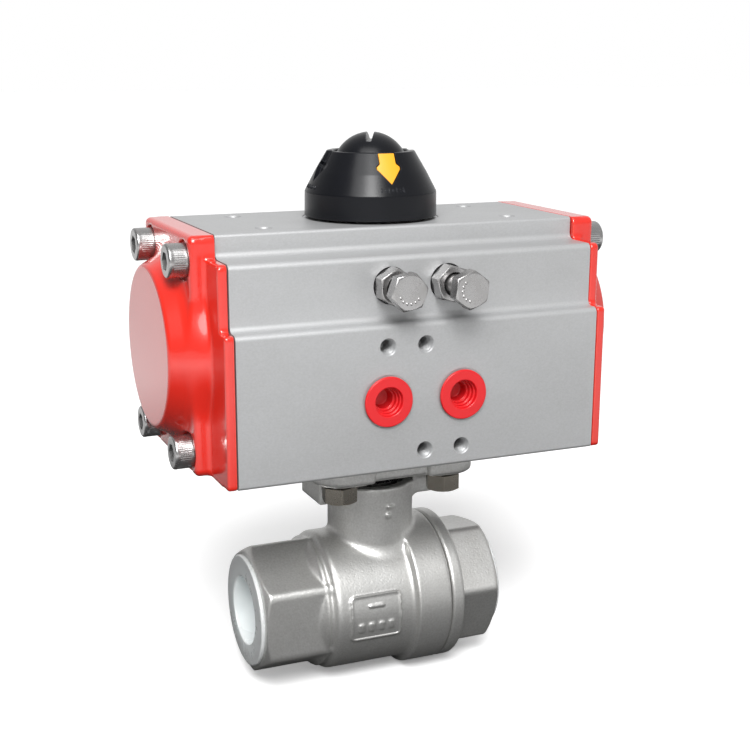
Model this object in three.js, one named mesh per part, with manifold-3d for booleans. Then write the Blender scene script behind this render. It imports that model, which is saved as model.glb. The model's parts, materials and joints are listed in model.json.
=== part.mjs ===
// Quarter-turn ball valve with a double-acting rack-and-pinion air actuator mounted directly on it.
// Millimetres. X runs along the pipe, -Y is the side with the air ports, Z is the spindle axis.
// The origin is the centre of the ball: the pipe axis crosses the spindle axis there.

import * as THREE from 'three';
import { mergeVertices } from 'three/addons/utils/BufferGeometryUtils.js';
import Module from 'manifold-3d';

const wasm = await Module();
wasm.setup();

// ---- driving dimensions ----
const clearance = 0.3; // between pieces that touch
const large = 28; // sides of a large round, and of smaller ones
const medium = 20;
const small = 12;
const tiny = 8;

// actuator, heights measured from its underside
const baseHeight = 54.6; // underside of the actuator above the pipe axis
const bodyLength = 115;
const bodyHeight = 70;
const boreRadius = 26;
const boreHeight = 34.5;
const padY = -41.5; // face with the air ports
const midY = -36.4;
const topY = 24.1; // half width of the flat top
const backY = 33;
const padTop = 44.3;
const midTop = 63.2;
const halfBody = bodyLength / 2;

const portSpacing = 24;
const portHeight = 21.6;
const portRadius = 6.3;
const padScrewRise = 16; // threaded holes above and below the ports
const tapRadius = 2.1; // M5 thread, drawn at its core
const topTapX = 40;
const topTapY = 15;
const spotDepth = 0.2; // shallow machined seats round the ports and the spindle
const portSpot = 7.9;
const shaftSpot = 21.2;

const capFlange = 3.5;
const capBlock = 8.2;
const capDepth = 14.2; // flange, block and dome together
const domeRadius = 24;
const domeFoot = 29.5;
const capScrewY = 18.5;
const capScrewRise = 28; // from the bore axis
const m6Radius = 2.9;
const m6Hole = 3.2;
const screwHeadRadius = 5;
const screwHeadLength = 6;
const m6Flats = 10;

// rack and pinion
const gearModule = 1.5;
const teeth = 16;
const pitchRadius = (gearModule * teeth) / 2;
const pressureAngle = THREE.MathUtils.degToRad(20);
const pistonFace = 26.5; // inner face of a piston at rest
const pistonLength = 11;
const rackEnd = -24.5;
const rackHalfHeight = 7;
const rackBack = 22.5;
const shaftBottom = 14;
const shaftTop = 8.5;
const bottomHole = 15.8;
const topHole = 11.2;

// travel stops
const stopX = 9;
const stopHeight = 54.5;
const stopTip = -9;
const stopHeads = { left: -50, right: -53 };
const camBase = 10.3;
const camLobe = 12.3;

// position indicator
const domeCapRadius = 20.5;
const coneFoot = 79;
const coneTop = 89.8;
const rimRadius = 13.5;
const knobRadius = 11.1;

// ball valve
const ballRadius = 19.2;
const flowRadius = 12.5;
const seatInner = 12.6;
const seatOuter = 17.2;
const hexFlats = 38;
const leftEnd = -42.6;
const rightEnd = 38.2;
const barrelRadius = 22.7;
const collarRadius = 24.9;
const bodySplit = 18.7;
const socketRadius = 15.2; // pipe thread, drawn at its core
const neckRadius = 14.5;
const neckRim = 39.8;
const plateBottom = 47.6;
const lobeBottom = 44.6;
const boltOffset = 50 / 2 / Math.SQRT2; // four bolts on a 50 mm circle
const stemRadius = 6;
const stemSquare = 9;

// ---- building blocks ----
const axes = {
  x: new THREE.Matrix4().makeBasis(unit(0, 1, 0), unit(0, 0, 1), unit(1, 0, 0)),
  y: new THREE.Matrix4().makeBasis(unit(0, 0, 1), unit(1, 0, 0), unit(0, 1, 0)),
  z: new THREE.Matrix4(),
};

function unit(x, y, z) {
  return new THREE.Vector3(x, y, z);
}

// A closed geometry with shared vertices, no empty triangles and its faces pointing out.
function tidyGeometry(geometry) {
  const bare = new THREE.BufferGeometry();
  bare.setAttribute('position', geometry.getAttribute('position'));
  bare.setIndex(geometry.index);
  const merged = mergeVertices(bare, 1e-4);
  const place = merged.getAttribute('position');
  const index = merged.index.array;
  const corner = [unit(), unit(), unit()];
  const kept = [];
  let volume = 0;
  for (let i = 0; i < index.length; i += 3) {
    const [a, b, c] = index.slice(i, i + 3);
    if (a === b || b === c || a === c) continue;
    [a, b, c].forEach((vertex, k) => corner[k].fromBufferAttribute(place, vertex));
    volume += corner[0].dot(corner[1].cross(corner[2]));
    kept.push([a, b, c]);
  }
  merged.setIndex(kept.map((face) => (volume < 0 ? face.reverse() : face)).flat());
  return merged;
}

function solid(geometry) {
  const closed = tidyGeometry(geometry);
  const vertProperties = new Float32Array(closed.getAttribute('position').array);
  const triVerts = new Uint32Array(closed.index.array);
  return new wasm.Manifold(new wasm.Mesh({ numProp: 3, vertProperties, triVerts }));
}

function join(first, ...others) {
  return others.reduce((whole, part) => whole.add(part), first);
}

function cut(first, ...tools) {
  return tools.reduce((whole, tool) => whole.subtract(tool), first);
}

function surfaceOf(body) {
  const mesh = body.getMesh();
  const geometry = new THREE.BufferGeometry();
  geometry.setAttribute('position', new THREE.BufferAttribute(new Float32Array(mesh.vertProperties), 3));
  geometry.setIndex(Array.from(mesh.triVerts));
  return geometry;
}

// A profile of [radius, distance along the axis] turned about that axis.
function turned(axis, profile, steps = medium) {
  const points = profile.map(([radius, along]) => new THREE.Vector2(radius, along));
  const geometry = new THREE.LatheGeometry(points, steps);
  geometry.rotateX(Math.PI / 2);
  return geometry.applyMatrix4(axes[axis]);
}

function turnedSolid(axis, profile, steps, shift = [0, 0, 0]) {
  return solid(turned(axis, profile, steps).translate(...shift));
}

function rod(axis, radius, from, to, shift, steps = medium) {
  return turnedSolid(axis, [[0, from], [radius, from], [radius, to], [0, to]], steps, shift);
}

function ringProfile(inner, outer, from, to) {
  return [[inner, from], [outer, from], [outer, to], [inner, to], [inner, from]];
}

function ring(axis, inner, outer, from, to, steps) {
  return turned(axis, ringProfile(inner, outer, from, to), steps);
}

// A rubber ring of round section lying across the axis at a given distance along it.
function sealRing(axis, radius, thickness, along) {
  const section = 5;
  const profile = [];
  for (let i = 0; i <= section; i += 1) {
    const turn = ((i % section) * 2 * Math.PI) / section;
    profile.push([radius + thickness * Math.cos(turn), along + thickness * Math.sin(turn)]);
  }
  return turned(axis, profile, 20);
}

function block(low, high) {
  const size = high.map((value, i) => value - low[i]);
  const middle = high.map((value, i) => (value + low[i]) / 2);
  return solid(new THREE.BoxGeometry(...size).translate(...middle));
}

// An outline in the plane across an axis, drawn out along it. Across x lie (y, z), across z lie (x, y).
function prismGeometry(axis, outline, from, to) {
  const shape = new THREE.Shape(outline.map(([u, v]) => new THREE.Vector2(u, v)));
  const geometry = new THREE.ExtrudeGeometry(shape, { depth: to - from, bevelEnabled: false });
  return geometry.translate(0, 0, from).applyMatrix4(axes[axis]);
}

function prism(axis, outline, from, to) {
  return solid(prismGeometry(axis, outline, from, to));
}

// A polygon whose corners [u, v, radius] are rounded by arcs.
function rounded(corners, steps = 3) {
  const outline = [];
  corners.forEach(([u, v, radius], i) => {
    const here = new THREE.Vector2(u, v);
    const before = new THREE.Vector2(...corners.at(i - 1).slice(0, 2)).sub(here).normalize();
    const after = new THREE.Vector2(...corners[(i + 1) % corners.length].slice(0, 2)).sub(here).normalize();
    if (!radius) {
      outline.push([u, v]);
      return;
    }
    const half = Math.acos(THREE.MathUtils.clamp(before.dot(after), -1, 1)) / 2;
    const centre = before.clone().add(after).setLength(radius / Math.sin(half)).add(here);
    const start = before.clone().multiplyScalar(radius / Math.tan(half)).add(here).sub(centre);
    const end = after.clone().multiplyScalar(radius / Math.tan(half)).add(here).sub(centre);
    const sweep = Math.atan2(start.cross(end), start.dot(end));
    for (let k = 0; k <= steps; k += 1) {
      const point = start.clone().rotateAround(new THREE.Vector2(), (sweep * k) / steps).add(centre);
      outline.push([point.x, point.y]);
    }
  });
  return outline;
}

function hexagon(flats, turn = 0, radius = 0, steps = 2) {
  const corners = [];
  for (let i = 0; i < 6; i += 1) {
    const angle = turn + (i * Math.PI) / 3;
    const reach = flats / Math.sqrt(3);
    corners.push([reach * Math.cos(angle), reach * Math.sin(angle), radius]);
  }
  return rounded(corners, steps);
}

function mirrored(geometry) {
  return tidyGeometry(geometry.clone().applyMatrix4(new THREE.Matrix4().makeScale(-1, 1, 1)));
}

// ---- finishes ----
const finish = {
  anodised: material(0xb4b2ae, 0.45, 0.9),
  redPaint: material(0xd8352c, 0.25, 0),
  steel: material(0xb9bbbc, 0.3, 1),
  darkSteel: material(0x6e655c, 0.45, 1),
  stainless: material(0xa9aaa7, 0.5, 1),
  polished: material(0xc9cbcc, 0.15, 1),
  rubber: material(0x1c1c1e, 0.8, 0),
  acetal: material(0xe8e4da, 0.5, 0),
  ptfe: material(0xf2f0ea, 0.6, 0),
  blackPlastic: material(0x1f2022, 0.35, 0),
  yellowPlastic: material(0xf2cd40, 0.4, 0),
  redPlastic: material(0xd02030, 0.4, 0),
  clearPlastic: material(0xc4cacb, 0.3, 0),
};

function material(color, roughness, metalness) {
  return new THREE.MeshStandardMaterial({ color, roughness, metalness });
}

function piece(name, geometry, look, place = [0, 0, 0], turn = 0) {
  const mesh = new THREE.Mesh(tidyGeometry(geometry), look);
  mesh.name = name;
  mesh.position.set(...place);
  mesh.rotation.z = turn;
  return mesh;
}

// ---- actuator body: a stepped extrusion bored through from end to end ----
const bodyOutline = rounded([
  [padY, 0, 0.8], [padY, padTop, 1.6], [midY, padTop, 1.6], [midY, midTop, 1.8],
  [-topY, midTop, 1.8], [-topY, bodyHeight, 0.8], [topY, bodyHeight, 0.8], [topY, midTop, 1.8],
  [backY, midTop, 1.8], [backY, 5, 1.5], [28, 0, 1.5],
].reverse(), 2);

function capScrewPlaces() {
  return [-1, 1].flatMap((y) => [-1, 1].map((z) => [y * capScrewY, boreHeight + z * capScrewRise]));
}

function padHoles() {
  const places = [[-portSpacing / 2, 1], [0, 1], [0, -1], [portSpacing / 2, -1]];
  return places.map(([x, up]) =>
    rod('y', tapRadius, padY - 1, padY + 8, [x, 0, portHeight + up * padScrewRise], tiny));
}

function portHole(side) {
  const place = [(side * portSpacing) / 2, 0, portHeight];
  return join(
    rod('y', portSpot, padY - 1, padY + spotDepth, place, small),
    rod('y', portRadius, padY - 1, padY + 10.5, place, small),
    rod('y', 2.2, padY + 10, -20, place, tiny),
  );
}

function stopHole(side) {
  const place = [side * stopX, 0, stopHeight];
  return join(
    rod('y', 5.5, midY - 1, midY + 1.8, place, small),
    rod('y', m6Hole + 0.1, midY + 1, -10, place, small),
  );
}

function actuatorBody() {
  const signs = [-1, 1];
  const ends = signs.flatMap((side) => capScrewPlaces().map(([y, z]) => {
    const span = [side * (halfBody + 1), side * (halfBody - 14)].sort((a, b) => a - b);
    return rod('x', m6Hole + 0.1, ...span, [0, y, z], tiny);
  }));
  const topTaps = signs.flatMap((x) => signs.map((y) =>
    rod('z', tapRadius, bodyHeight - 7, bodyHeight + 1, [x * topTapX, y * topTapY, 0], tiny)));
  const baseTaps = signs.flatMap((x) => signs.map((y) =>
    rod('z', m6Hole + 0.1, -1, 11, [x * boltOffset, y * boltOffset, 0], tiny)));
  return surfaceOf(cut(
    prism('x', bodyOutline, -halfBody, halfBody),
    rod('x', boreRadius, -halfBody - 1, halfBody + 1, [0, 0, boreHeight], large),
    rod('z', bottomHole, -1, boreHeight, [0, 0, 0], medium),
    rod('z', topHole, boreHeight, bodyHeight + 1, [0, 0, 0], medium),
    rod('z', shaftSpot, bodyHeight - spotDepth, bodyHeight + 1, [0, 0, 0], large),
    ...ends, ...topTaps, ...baseTaps, ...padHoles(),
    portHole(-1), portHole(1), stopHole(-1), stopHole(1),
  ));
}

// ---- end cap, built for the +X end: flange, square block and flat-faced dome over a hollow ----
function endCap() {
  const start = halfBody + clearance;
  const face = start + capBlock;
  const end = start + capDepth;
  const blockHalf = 25.5;
  const blockOutline = rounded([
    [-blockHalf, 0.4, 2], [blockHalf, 0.4, 2],
    [blockHalf, bodyHeight - 0.3, 2], [-blockHalf, bodyHeight - 0.3, 2],
  ], 2);
  const dome = turnedSolid('x', [
    [0, start + 1], [domeFoot, start + 1], [domeFoot, face - 2.4], [domeFoot - 1.4, face - 1],
    [domeRadius + 0.5, end - 0.6], [domeRadius - 0.2, end], [0, end],
  ], large, [0, 0, boreHeight]);
  const hollow = turnedSolid('x', [
    [0, start - 1], [boreRadius - 0.5, start - 1], [boreRadius - 0.5, start + 5],
    [domeRadius - 3.5, end - 3], [0, end - 3],
  ], medium, [0, 0, boreHeight]);
  const grooveProfile = ringProfile(27.3, 29.7, start - 1, start + 2.1);
  const groove = turnedSolid('x', grooveProfile, medium, [0, 0, boreHeight]);
  const screwCuts = capScrewPlaces().flatMap(([y, z]) => [
    rod('x', screwHeadRadius + 0.6, face - 1.7, end + 1, [0, y, z], small),
    rod('x', m6Hole + 0.1, start - 1, face, [0, y, z], tiny),
  ]);
  const flange = prism('x', bodyOutline, start, start + capFlange);
  return surfaceOf(cut(
    join(flange, prism('x', blockOutline, start + 1, face), dome),
    hollow, groove, ...screwCuts,
  ));
}

// ---- fasteners ----
// Socket head screw along +X with its tip at the low end.
function capScrew() {
  const under = halfBody + capBlock - 1.4 + clearance;
  const body = join(
    rod('x', m6Radius, under - 19, under + 1, [0, 0, 0], tiny),
    turnedSolid('x', [
      [0, under], [screwHeadRadius, under], [screwHeadRadius, under + screwHeadLength - 0.6],
      [screwHeadRadius - 0.6, under + screwHeadLength], [0, under + screwHeadLength],
    ], 14),
  );
  const key = prism('x', hexagon(5, Math.PI / 6), under + screwHeadLength - 3, under + screwHeadLength + 1);
  return surfaceOf(cut(body, key));
}

// A hexagon with its corners turned off at one end or both.
function hexSolid(axis, flats, from, to, turn, chamferStart, chamferEnd) {
  const wide = flats * 0.62;
  const round = flats * 0.48;
  const taper = flats * 0.06;
  const profile = [
    [0, from], [chamferStart ? round : wide, from], [wide, from + (chamferStart ? taper : 0.01)],
    [wide, to - (chamferEnd ? taper : 0.01)], [chamferEnd ? round : wide, to], [0, to],
  ];
  return prism(axis, hexagon(flats, turn), from, to).intersect(turnedSolid(axis, profile, 18));
}

function stopBolt(headFace) {
  const head = hexSolid('y', m6Flats, headFace, headFace + 4, 0.26, true, false);
  return surfaceOf(join(head, rod('y', m6Radius, headFace + 3.5, stopTip, [0, 0, 0], small)));
}

function lockNut() {
  const from = midY - clearance - 5;
  return surfaceOf(cut(
    hexSolid('y', m6Flats, from, from + 5, 0.1, true, true),
    rod('y', m6Hole, from - 1, from + 6, [0, 0, 0], small),
  ));
}

function mountingBolt() {
  const top = lobeBottom - clearance;
  return surfaceOf(join(
    hexSolid('z', m6Flats, top - 4, top, 0.35, true, false),
    rod('z', m6Radius, top - 0.5, baseHeight + 9.5, [0, 0, 0], tiny),
  ));
}

function portPlug() {
  const face = padY - clearance - 0.9;
  return turned('y', [
    [0, padY + 8.5], [portRadius - clearance, padY + 8.5], [portRadius - clearance, padY - clearance],
    [7.5, padY - clearance], [7.5, face], [4, face], [4, face + 4.2], [2.8, face + 4.2],
    [2.8, face + 7.8], [0, face + 7.8],
  ], small);
}

// ---- rack and pinion ----
function involuteOffset(radius) {
  const angle = Math.acos(Math.min(1, (pitchRadius * Math.cos(pressureAngle)) / radius));
  return Math.tan(angle) - angle;
}

function pinionOutline() {
  const root = 10.1;
  const tip = 13.3;
  const baseRadius = pitchRadius * Math.cos(pressureAngle);
  const radii = [baseRadius, 12.2, tip];
  const atPitch = Math.PI / (2 * teeth) + involuteOffset(pitchRadius);
  const halfTooth = (radius) => atPitch - involuteOffset(radius);
  const flank = [[root, halfTooth(baseRadius)], ...radii.map((radius) => [radius, halfTooth(radius)])];
  const outline = [];
  for (let i = 0; i < teeth; i += 1) {
    const centre = -Math.PI / 2 + (i * 2 * Math.PI) / teeth;
    flank.forEach(([radius, half]) => outline.push(polar(radius, centre - half)));
    flank.toReversed().forEach(([radius, half]) => outline.push(polar(radius, centre + half)));
  }
  return outline;
}

function polar(radius, angle) {
  return [radius * Math.cos(angle), radius * Math.sin(angle)];
}

function pinion() {
  const shaft = turnedSolid('z', [
    [0, 0.8], [shaftBottom, 0.8], [shaftBottom, 1.9], [12.4, 1.9], [12.4, 4.7], [shaftBottom, 4.7],
    [shaftBottom, 24.8], [9.6, 24.8], [9.6, 52], [shaftTop, 52], [shaftTop, 61], [7.2, 61], [7.2, 65],
    [shaftTop, 65], [shaftTop, 71.6], [7.6, 71.6], [7.6, 72.8], [shaftTop, 72.8], [shaftTop, 84], [0, 84],
  ], 20);
  const half = stemSquare / 2 + clearance;
  return surfaceOf(cut(
    join(shaft, prism('z', pinionOutline(), 24, 44)),
    block([-half, -half, -1], [half, half, 15.4]),
    rod('z', 2.7, 71, 85, [0, 0, 0], tiny),
    block([-10, 6, 75.7], [10, 10, 85]), block([-10, -10, 75.7], [10, -6, 85]),
  ));
}

// Rack outline seen from above. The rack lies at -Y of the pinion and reaches past it towards -X.
function rackOutline() {
  const pitch = Math.PI * gearModule;
  const slope = Math.tan(pressureAngle);
  const tipY = -pitchRadius + 1.35;
  const rootY = -pitchRadius - 1.7;
  const halfAtPitch = pitch / 4 - 0.23;
  const halfTip = halfAtPitch - 1.35 * slope;
  const halfRoot = halfAtPitch + 1.7 * slope;
  const outline = [[pistonFace + 2, -rackBack], [pistonFace + 2, rootY]];
  for (let i = 1; i >= -5; i -= 1) {
    const centre = (i + 0.5) * pitch;
    outline.push([centre + halfRoot, rootY], [centre + halfTip, tipY]);
    outline.push([centre - halfTip, tipY], [centre - halfRoot, rootY]);
  }
  outline.push([rackEnd, rootY], [rackEnd, -rackBack]);
  return outline;
}

// Piston with its rack for the +X side, heights measured from the bore axis.
function piston() {
  const skirt = boreRadius - clearance;
  const end = pistonFace + pistonLength;
  const disc = turnedSolid('x', [
    [0, pistonFace], [skirt, pistonFace], [skirt, pistonFace + 4], [23.35, pistonFace + 4],
    [23.35, pistonFace + 7], [skirt, pistonFace + 7], [skirt, end], [19, end], [17, end - 5], [0, end - 5],
  ], medium);
  return surfaceOf(join(disc, prism('z', rackOutline(), -rackHalfHeight, rackHalfHeight)));
}

// Plastic strip that carries the back of the rack on the bore wall.
function rackPad() {
  const slab = block([-20, -boreRadius, -6.4], [8, -rackBack - clearance, 6.4]);
  return surfaceOf(slab.intersect(rod('x', boreRadius - clearance, -21, 9, [0, 0, 0], large)));
}

function stopCam() {
  const outline = [];
  const lobeStart = -45.5;
  const lobeEnd = 135.5;
  for (let angle = lobeStart; angle <= lobeEnd + 0.1; angle += (lobeEnd - lobeStart) / 14) {
    outline.push(polar(camLobe, THREE.MathUtils.degToRad(angle)));
  }
  for (let angle = lobeEnd; angle <= 360 + lobeStart + 0.1; angle += (360 + lobeStart - lobeEnd) / 14) {
    outline.push(polar(camBase, THREE.MathUtils.degToRad(angle)));
  }
  return surfaceOf(cut(
    prism('z', outline, 52 + clearance, 56.8),
    rod('z', shaftTop + clearance, 50, 60, [0, 0, 0], 24),
  ));
}

function snapRing() {
  const band = solid(ring('z', 7.9, 11.6, 71.75, 72.65, 20));
  return surfaceOf(cut(band, block([-3, -14, 71], [3, -5, 74])));
}

// ---- position indicator ----
const coneLean = Math.atan2(domeCapRadius - rimRadius, coneTop - coneFoot);

// Places a flat outline (across, up the slope) on the cone at a given direction.
function onCone(geometry, direction) {
  const out = [Math.cos(direction), Math.sin(direction)];
  const normal = unit(out[0] * Math.cos(coneLean), out[1] * Math.cos(coneLean), Math.sin(coneLean));
  const up = unit(-out[0] * Math.sin(coneLean), -out[1] * Math.sin(coneLean), Math.cos(coneLean));
  const frame = new THREE.Matrix4().makeBasis(up.clone().cross(normal), up, normal);
  frame.setPosition(out[0] * domeCapRadius, out[1] * domeCapRadius, coneFoot);
  return geometry.applyMatrix4(frame);
}

function arrowOutline(grow, top) {
  return [
    [0, 2.6 - grow * 1.4], [3.9 + grow, 7.8], [2.6 + grow, 9.3 + grow], [2.6 + grow, top],
    [-2.6 - grow, top], [-2.6 - grow, 9.3 + grow], [-3.9 - grow, 7.8],
  ];
}

function arrow(direction) {
  return onCone(prismGeometry('z', arrowOutline(0, 12.4), -1.1, -0.2), direction);
}

function indicator() {
  const shell = turnedSolid('z', [
    [17.8, 70.6], [domeCapRadius, 70.6], [domeCapRadius, coneFoot], [rimRadius, coneTop],
    [rimRadius - 0.3, 90.3], [11.4, 90.3], [11.4, 86], [3.1, 86], [3.1, 76], [17.8, 76], [17.8, 70.6],
  ], large);
  const pockets = [0, 1, 2, 3].map((i) =>
    solid(onCone(prismGeometry('z', arrowOutline(clearance, 14.5), -1.4, 2), (i * Math.PI) / 2)));
  const socket = rod('z', shaftTop + clearance, 75, 84.3, [0, 0, 0])
    .intersect(block([-10, -6 - clearance, 74], [10, 6 + clearance, 85]));
  return surfaceOf(cut(shell, socket, ...pockets));
}

function indicatorScrew() {
  const foot = 90.4;
  const rise = 5.6;
  const ball = (knobRadius ** 2 + rise ** 2) / (2 * rise);
  const profile = [[0, 74], [2.4, 74], [2.4, 86 + clearance], [knobRadius, 86 + clearance]];
  const steps = 5;
  for (let i = 0; i <= steps; i += 1) {
    const radius = i === steps ? 0 : knobRadius * Math.cos((i * Math.PI) / (2 * steps));
    profile.push([radius, foot + rise - ball + Math.sqrt(ball ** 2 - radius ** 2)]);
  }
  const slot = new THREE.BoxGeometry(30, 2, 10).translate(0, 0, foot + rise - 2.6 + 5).rotateZ(1.165);
  return surfaceOf(cut(turnedSolid('z', profile, 24), solid(slot)));
}

// ---- ball valve ----
// Clears the front and back of the neck between the lobes.
function windowCutter(from, to) {
  const wide = 11.5;
  return block([-wide, -40, from], [wide, 40, to]);
}

function turnedPoint(u, v, turn) {
  return [u * Math.cos(turn) - v * Math.sin(turn), u * Math.sin(turn) + v * Math.cos(turn)];
}

function mountingPlate() {
  const edge = 28.5;
  const waist = 25.5;
  const run = 11;
  const quarter = [[edge, run, 2], [edge, edge, 9], [run, edge, 2], [run - 2, waist, 1]];
  const outline = [];
  for (let i = 0; i < 4; i += 1) {
    const turn = (i * Math.PI) / 2;
    quarter.forEach(([u, v, radius]) => {
      outline.push([...turnedPoint(u, v, turn), radius]);
    });
    outline.push([...turnedPoint(2 - run, waist, turn), 1]);
  }
  const shape = rounded(outline, 2);
  const flare = turnedSolid('z', [
    [0, 29], [neckRadius, 29], [neckRadius + 1.2, 31.6], [edge + 4, 46], [0, 46],
  ], medium);
  const top = baseHeight - clearance;
  return join(prism('z', shape, lobeBottom, top), flare.intersect(prism('z', shape, 28, lobeBottom + 0.2)));
}

function valveBody() {
  const hexEnd = prism('x', hexagon(hexFlats, Math.PI / 2, 2.4), leftEnd, -20).intersect(turnedSolid('x', [
    [0, leftEnd], [19.2, leftEnd], [23, leftEnd + 2.2], [23, -20], [0, -20],
  ], large));
  const barrel = turnedSolid('x', [
    [0, -24], [19.4, -24], [20.2, -22.6], [21.6, -21.3], [barrelRadius, -19.6], [barrelRadius, 5.3],
    [23.3, 5.8], [24.3, 6.5], [collarRadius, 7.6], [collarRadius, bodySplit - 0.6],
    [collarRadius - 0.5, bodySplit], [0, bodySplit],
  ], large);
  const tablet = rod('x', barrelRadius + 0.5, -15.8, 1.6, [0, 0, 0], large)
    .intersect(block([-15.8, -30, -7], [1.6, 0, 8]));
  const neck = rod('z', neckRadius, 8, 46, [0, 0, 0]);
  const besideNeck = cut(windowCutter(27, neckRim), rod('z', neckRadius, 20, 50, [0, 0, 0]));
  const signs = [-1, 1];
  const bolts = signs.flatMap((x) => signs.flatMap((y) => {
    const place = [x * boltOffset, y * boltOffset, 0];
    return [rod('z', 7.2, 27, lobeBottom, place, small), rod('z', m6Hole + 0.1, 40, 56, place, tiny)];
  }));
  return surfaceOf(cut(
    join(hexEnd, barrel, tablet, neck, mountingPlate()),
    besideNeck, windowCutter(neckRim, plateBottom), ...bolts,
    rod('z', 14, plateBottom - 1, 56, [0, 0, 0]),
    rod('z', 11.3, 36, 50, [0, 0, 0]),
    rod('z', 9.3, 27, 37, [0, 0, 0], 24),
    rod('z', stemRadius + clearance, 20, 28, [0, 0, 0], small),
    rod('z', 8.6, 14, 24.6, [0, 0, 0], 20),
    rod('x', 18.3, leftEnd - 1, leftEnd + 0.2, [0, 0, 0]),
    rod('x', socketRadius, leftEnd - 1, -24.6, [0, 0, 0]),
    rod('x', flowRadius, -26, -17, [0, 0, 0]),
    rod('x', seatOuter + clearance, -18, -9, [0, 0, 0]),
    rod('x', ballRadius + 0.5, -9.3, bodySplit + 1, [0, 0, 0], large),
    rod('x', 22.3, bodySplit - 1.9, bodySplit + 1, [0, 0, 0], medium),
  ));
}

// The screwed-in right half of the valve.
function bodyCap() {
  const start = bodySplit + clearance;
  const hexStart = 23.3;
  const hexTurn = Math.PI - 0.14;
  const turnedOff = turnedSolid('x', [
    [0, 20], [23, 20], [23, rightEnd - 2.2], [19.2, rightEnd], [0, rightEnd],
  ], large);
  const hexEnd = prism('x', hexagon(hexFlats, hexTurn, 2.4), hexStart - 1, rightEnd).intersect(turnedOff);
  const collar = turnedSolid('x', [
    [0, start], [collarRadius - 0.5, start], [collarRadius, start + 0.6], [collarRadius, hexStart - 0.8],
    [collarRadius - 0.9, hexStart], [0, hexStart],
  ], large);
  return surfaceOf(cut(
    join(rod('x', ballRadius + 0.1, 9.3, start + 1, [0, 0, 0], large), collar, hexEnd),
    rod('x', seatOuter + clearance, 8, 18, [0, 0, 0]),
    rod('x', flowRadius, 17, 24, [0, 0, 0]),
    rod('x', socketRadius, 22.4, rightEnd + 1, [0, 0, 0]),
    rod('x', 18.3, rightEnd - 0.2, rightEnd + 1, [0, 0, 0]),
  ));
}

function ball() {
  return surfaceOf(cut(
    solid(new THREE.SphereGeometry(ballRadius, 24, 14)),
    rod('y', 12.2, -25, 25, [0, 0, 0]),
    block([-25, -3.3, 14], [25, 3.3, 25]),
  ));
}

// Seat ring for the +X side, with its hollow face following the ball.
function seat() {
  const reach = ballRadius + clearance;
  const profile = [[seatInner, 17.7], [seatOuter, 17.7]];
  const steps = 3;
  for (let i = 0; i <= steps; i += 1) {
    const radius = seatOuter - ((seatOuter - seatInner) * i) / steps;
    profile.push([radius, Math.sqrt(reach ** 2 - radius ** 2)]);
  }
  profile.push([seatInner, 17.7]);
  return turned('x', profile);
}

function stem() {
  const collar = rod('z', 8.2, 20, 22.8, [0, 0, 0], 20);
  const shaft = rod('z', stemRadius, 22, baseHeight + 13, [0, 0, 0], 20);
  const half = stemSquare / 2;
  const squared = [[half, -20, 20, 20], [-20, -20, -half, 20], [-20, half, 20, 20], [-20, -20, 20, -half]];
  const tang = block([-7, -3, 14.4], [7, 3, 21]);
  return surfaceOf(cut(
    join(collar, shaft, tang),
    ...squared.map(([x1, y1, x2, y2]) => block([x1, y1, 47.5], [x2, y2, 80])),
  ));
}

function springWasher(from, up) {
  const lift = up ? 0 : 0.5;
  const drop = up ? 0.5 : 0;
  return turned('z', [
    [stemRadius + clearance, from + drop], [9.6, from + lift], [9.6, from + lift + 0.6],
    [stemRadius + clearance, from + drop + 0.6], [stemRadius + clearance, from + drop],
  ], 20);
}

function stemNut() {
  return surfaceOf(cut(
    hexSolid('z', 17, 42.3, 46.8, 0.2, true, true),
    rod('z', stemRadius + clearance, 40, 50, [0, 0, 0], small),
  ));
}

// Protective plug for the +X pipe thread.
function pipePlug(end) {
  const wall = 2.5;
  return turned('x', [
    [0, end - 9.5], [socketRadius - clearance, end - 9.5], [socketRadius - clearance, end + 0.1],
    [18, end + 0.1], [18, end + 1.3], [socketRadius - clearance - wall, end + 1.3],
    [socketRadius - clearance - wall, end - 8.3], [0, end - 8.3],
  ]);
}

// ---- assembly ----
function actuator() {
  const group = new THREE.Group();
  group.position.z = baseHeight;
  const cap = endCap();
  group.add(piece('actuator_body', actuatorBody(), finish.anodised));
  group.add(piece('end_cap_left', mirrored(cap), finish.redPaint));
  group.add(piece('end_cap_right', cap, finish.redPaint));
  const screw = capScrew();
  capScrewPlaces().forEach(([y, z], i) => {
    group.add(piece(`cap_screw_left_${i + 1}`, mirrored(screw), finish.steel, [0, y, z]));
    group.add(piece(`cap_screw_right_${i + 1}`, screw, finish.steel, [0, y, z]));
  });
  const capSeal = sealRing('x', 28.5, 0.85, halfBody + 1.35);
  group.add(piece('end_cap_seal_left', mirrored(capSeal), finish.rubber, [0, 0, boreHeight]));
  group.add(piece('end_cap_seal_right', capSeal, finish.rubber, [0, 0, boreHeight]));
  group.add(...pistons(), ...spindle(), ...airSide());
  return group;
}

function pistons() {
  const sides = [['right', 0], ['left', Math.PI]];
  const pistonSeal = sealRing('x', 24.65, 1, pistonFace + 5.5);
  return sides.flatMap(([side, turn]) => [
    piece(`piston_${side}`, piston(), finish.anodised, [0, 0, boreHeight], turn),
    piece(`piston_seal_${side}`, pistonSeal, finish.rubber, [0, 0, boreHeight], turn),
    piece(`rack_pad_${side}`, rackPad(), finish.acetal, [0, 0, boreHeight], turn),
  ]);
}

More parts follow.
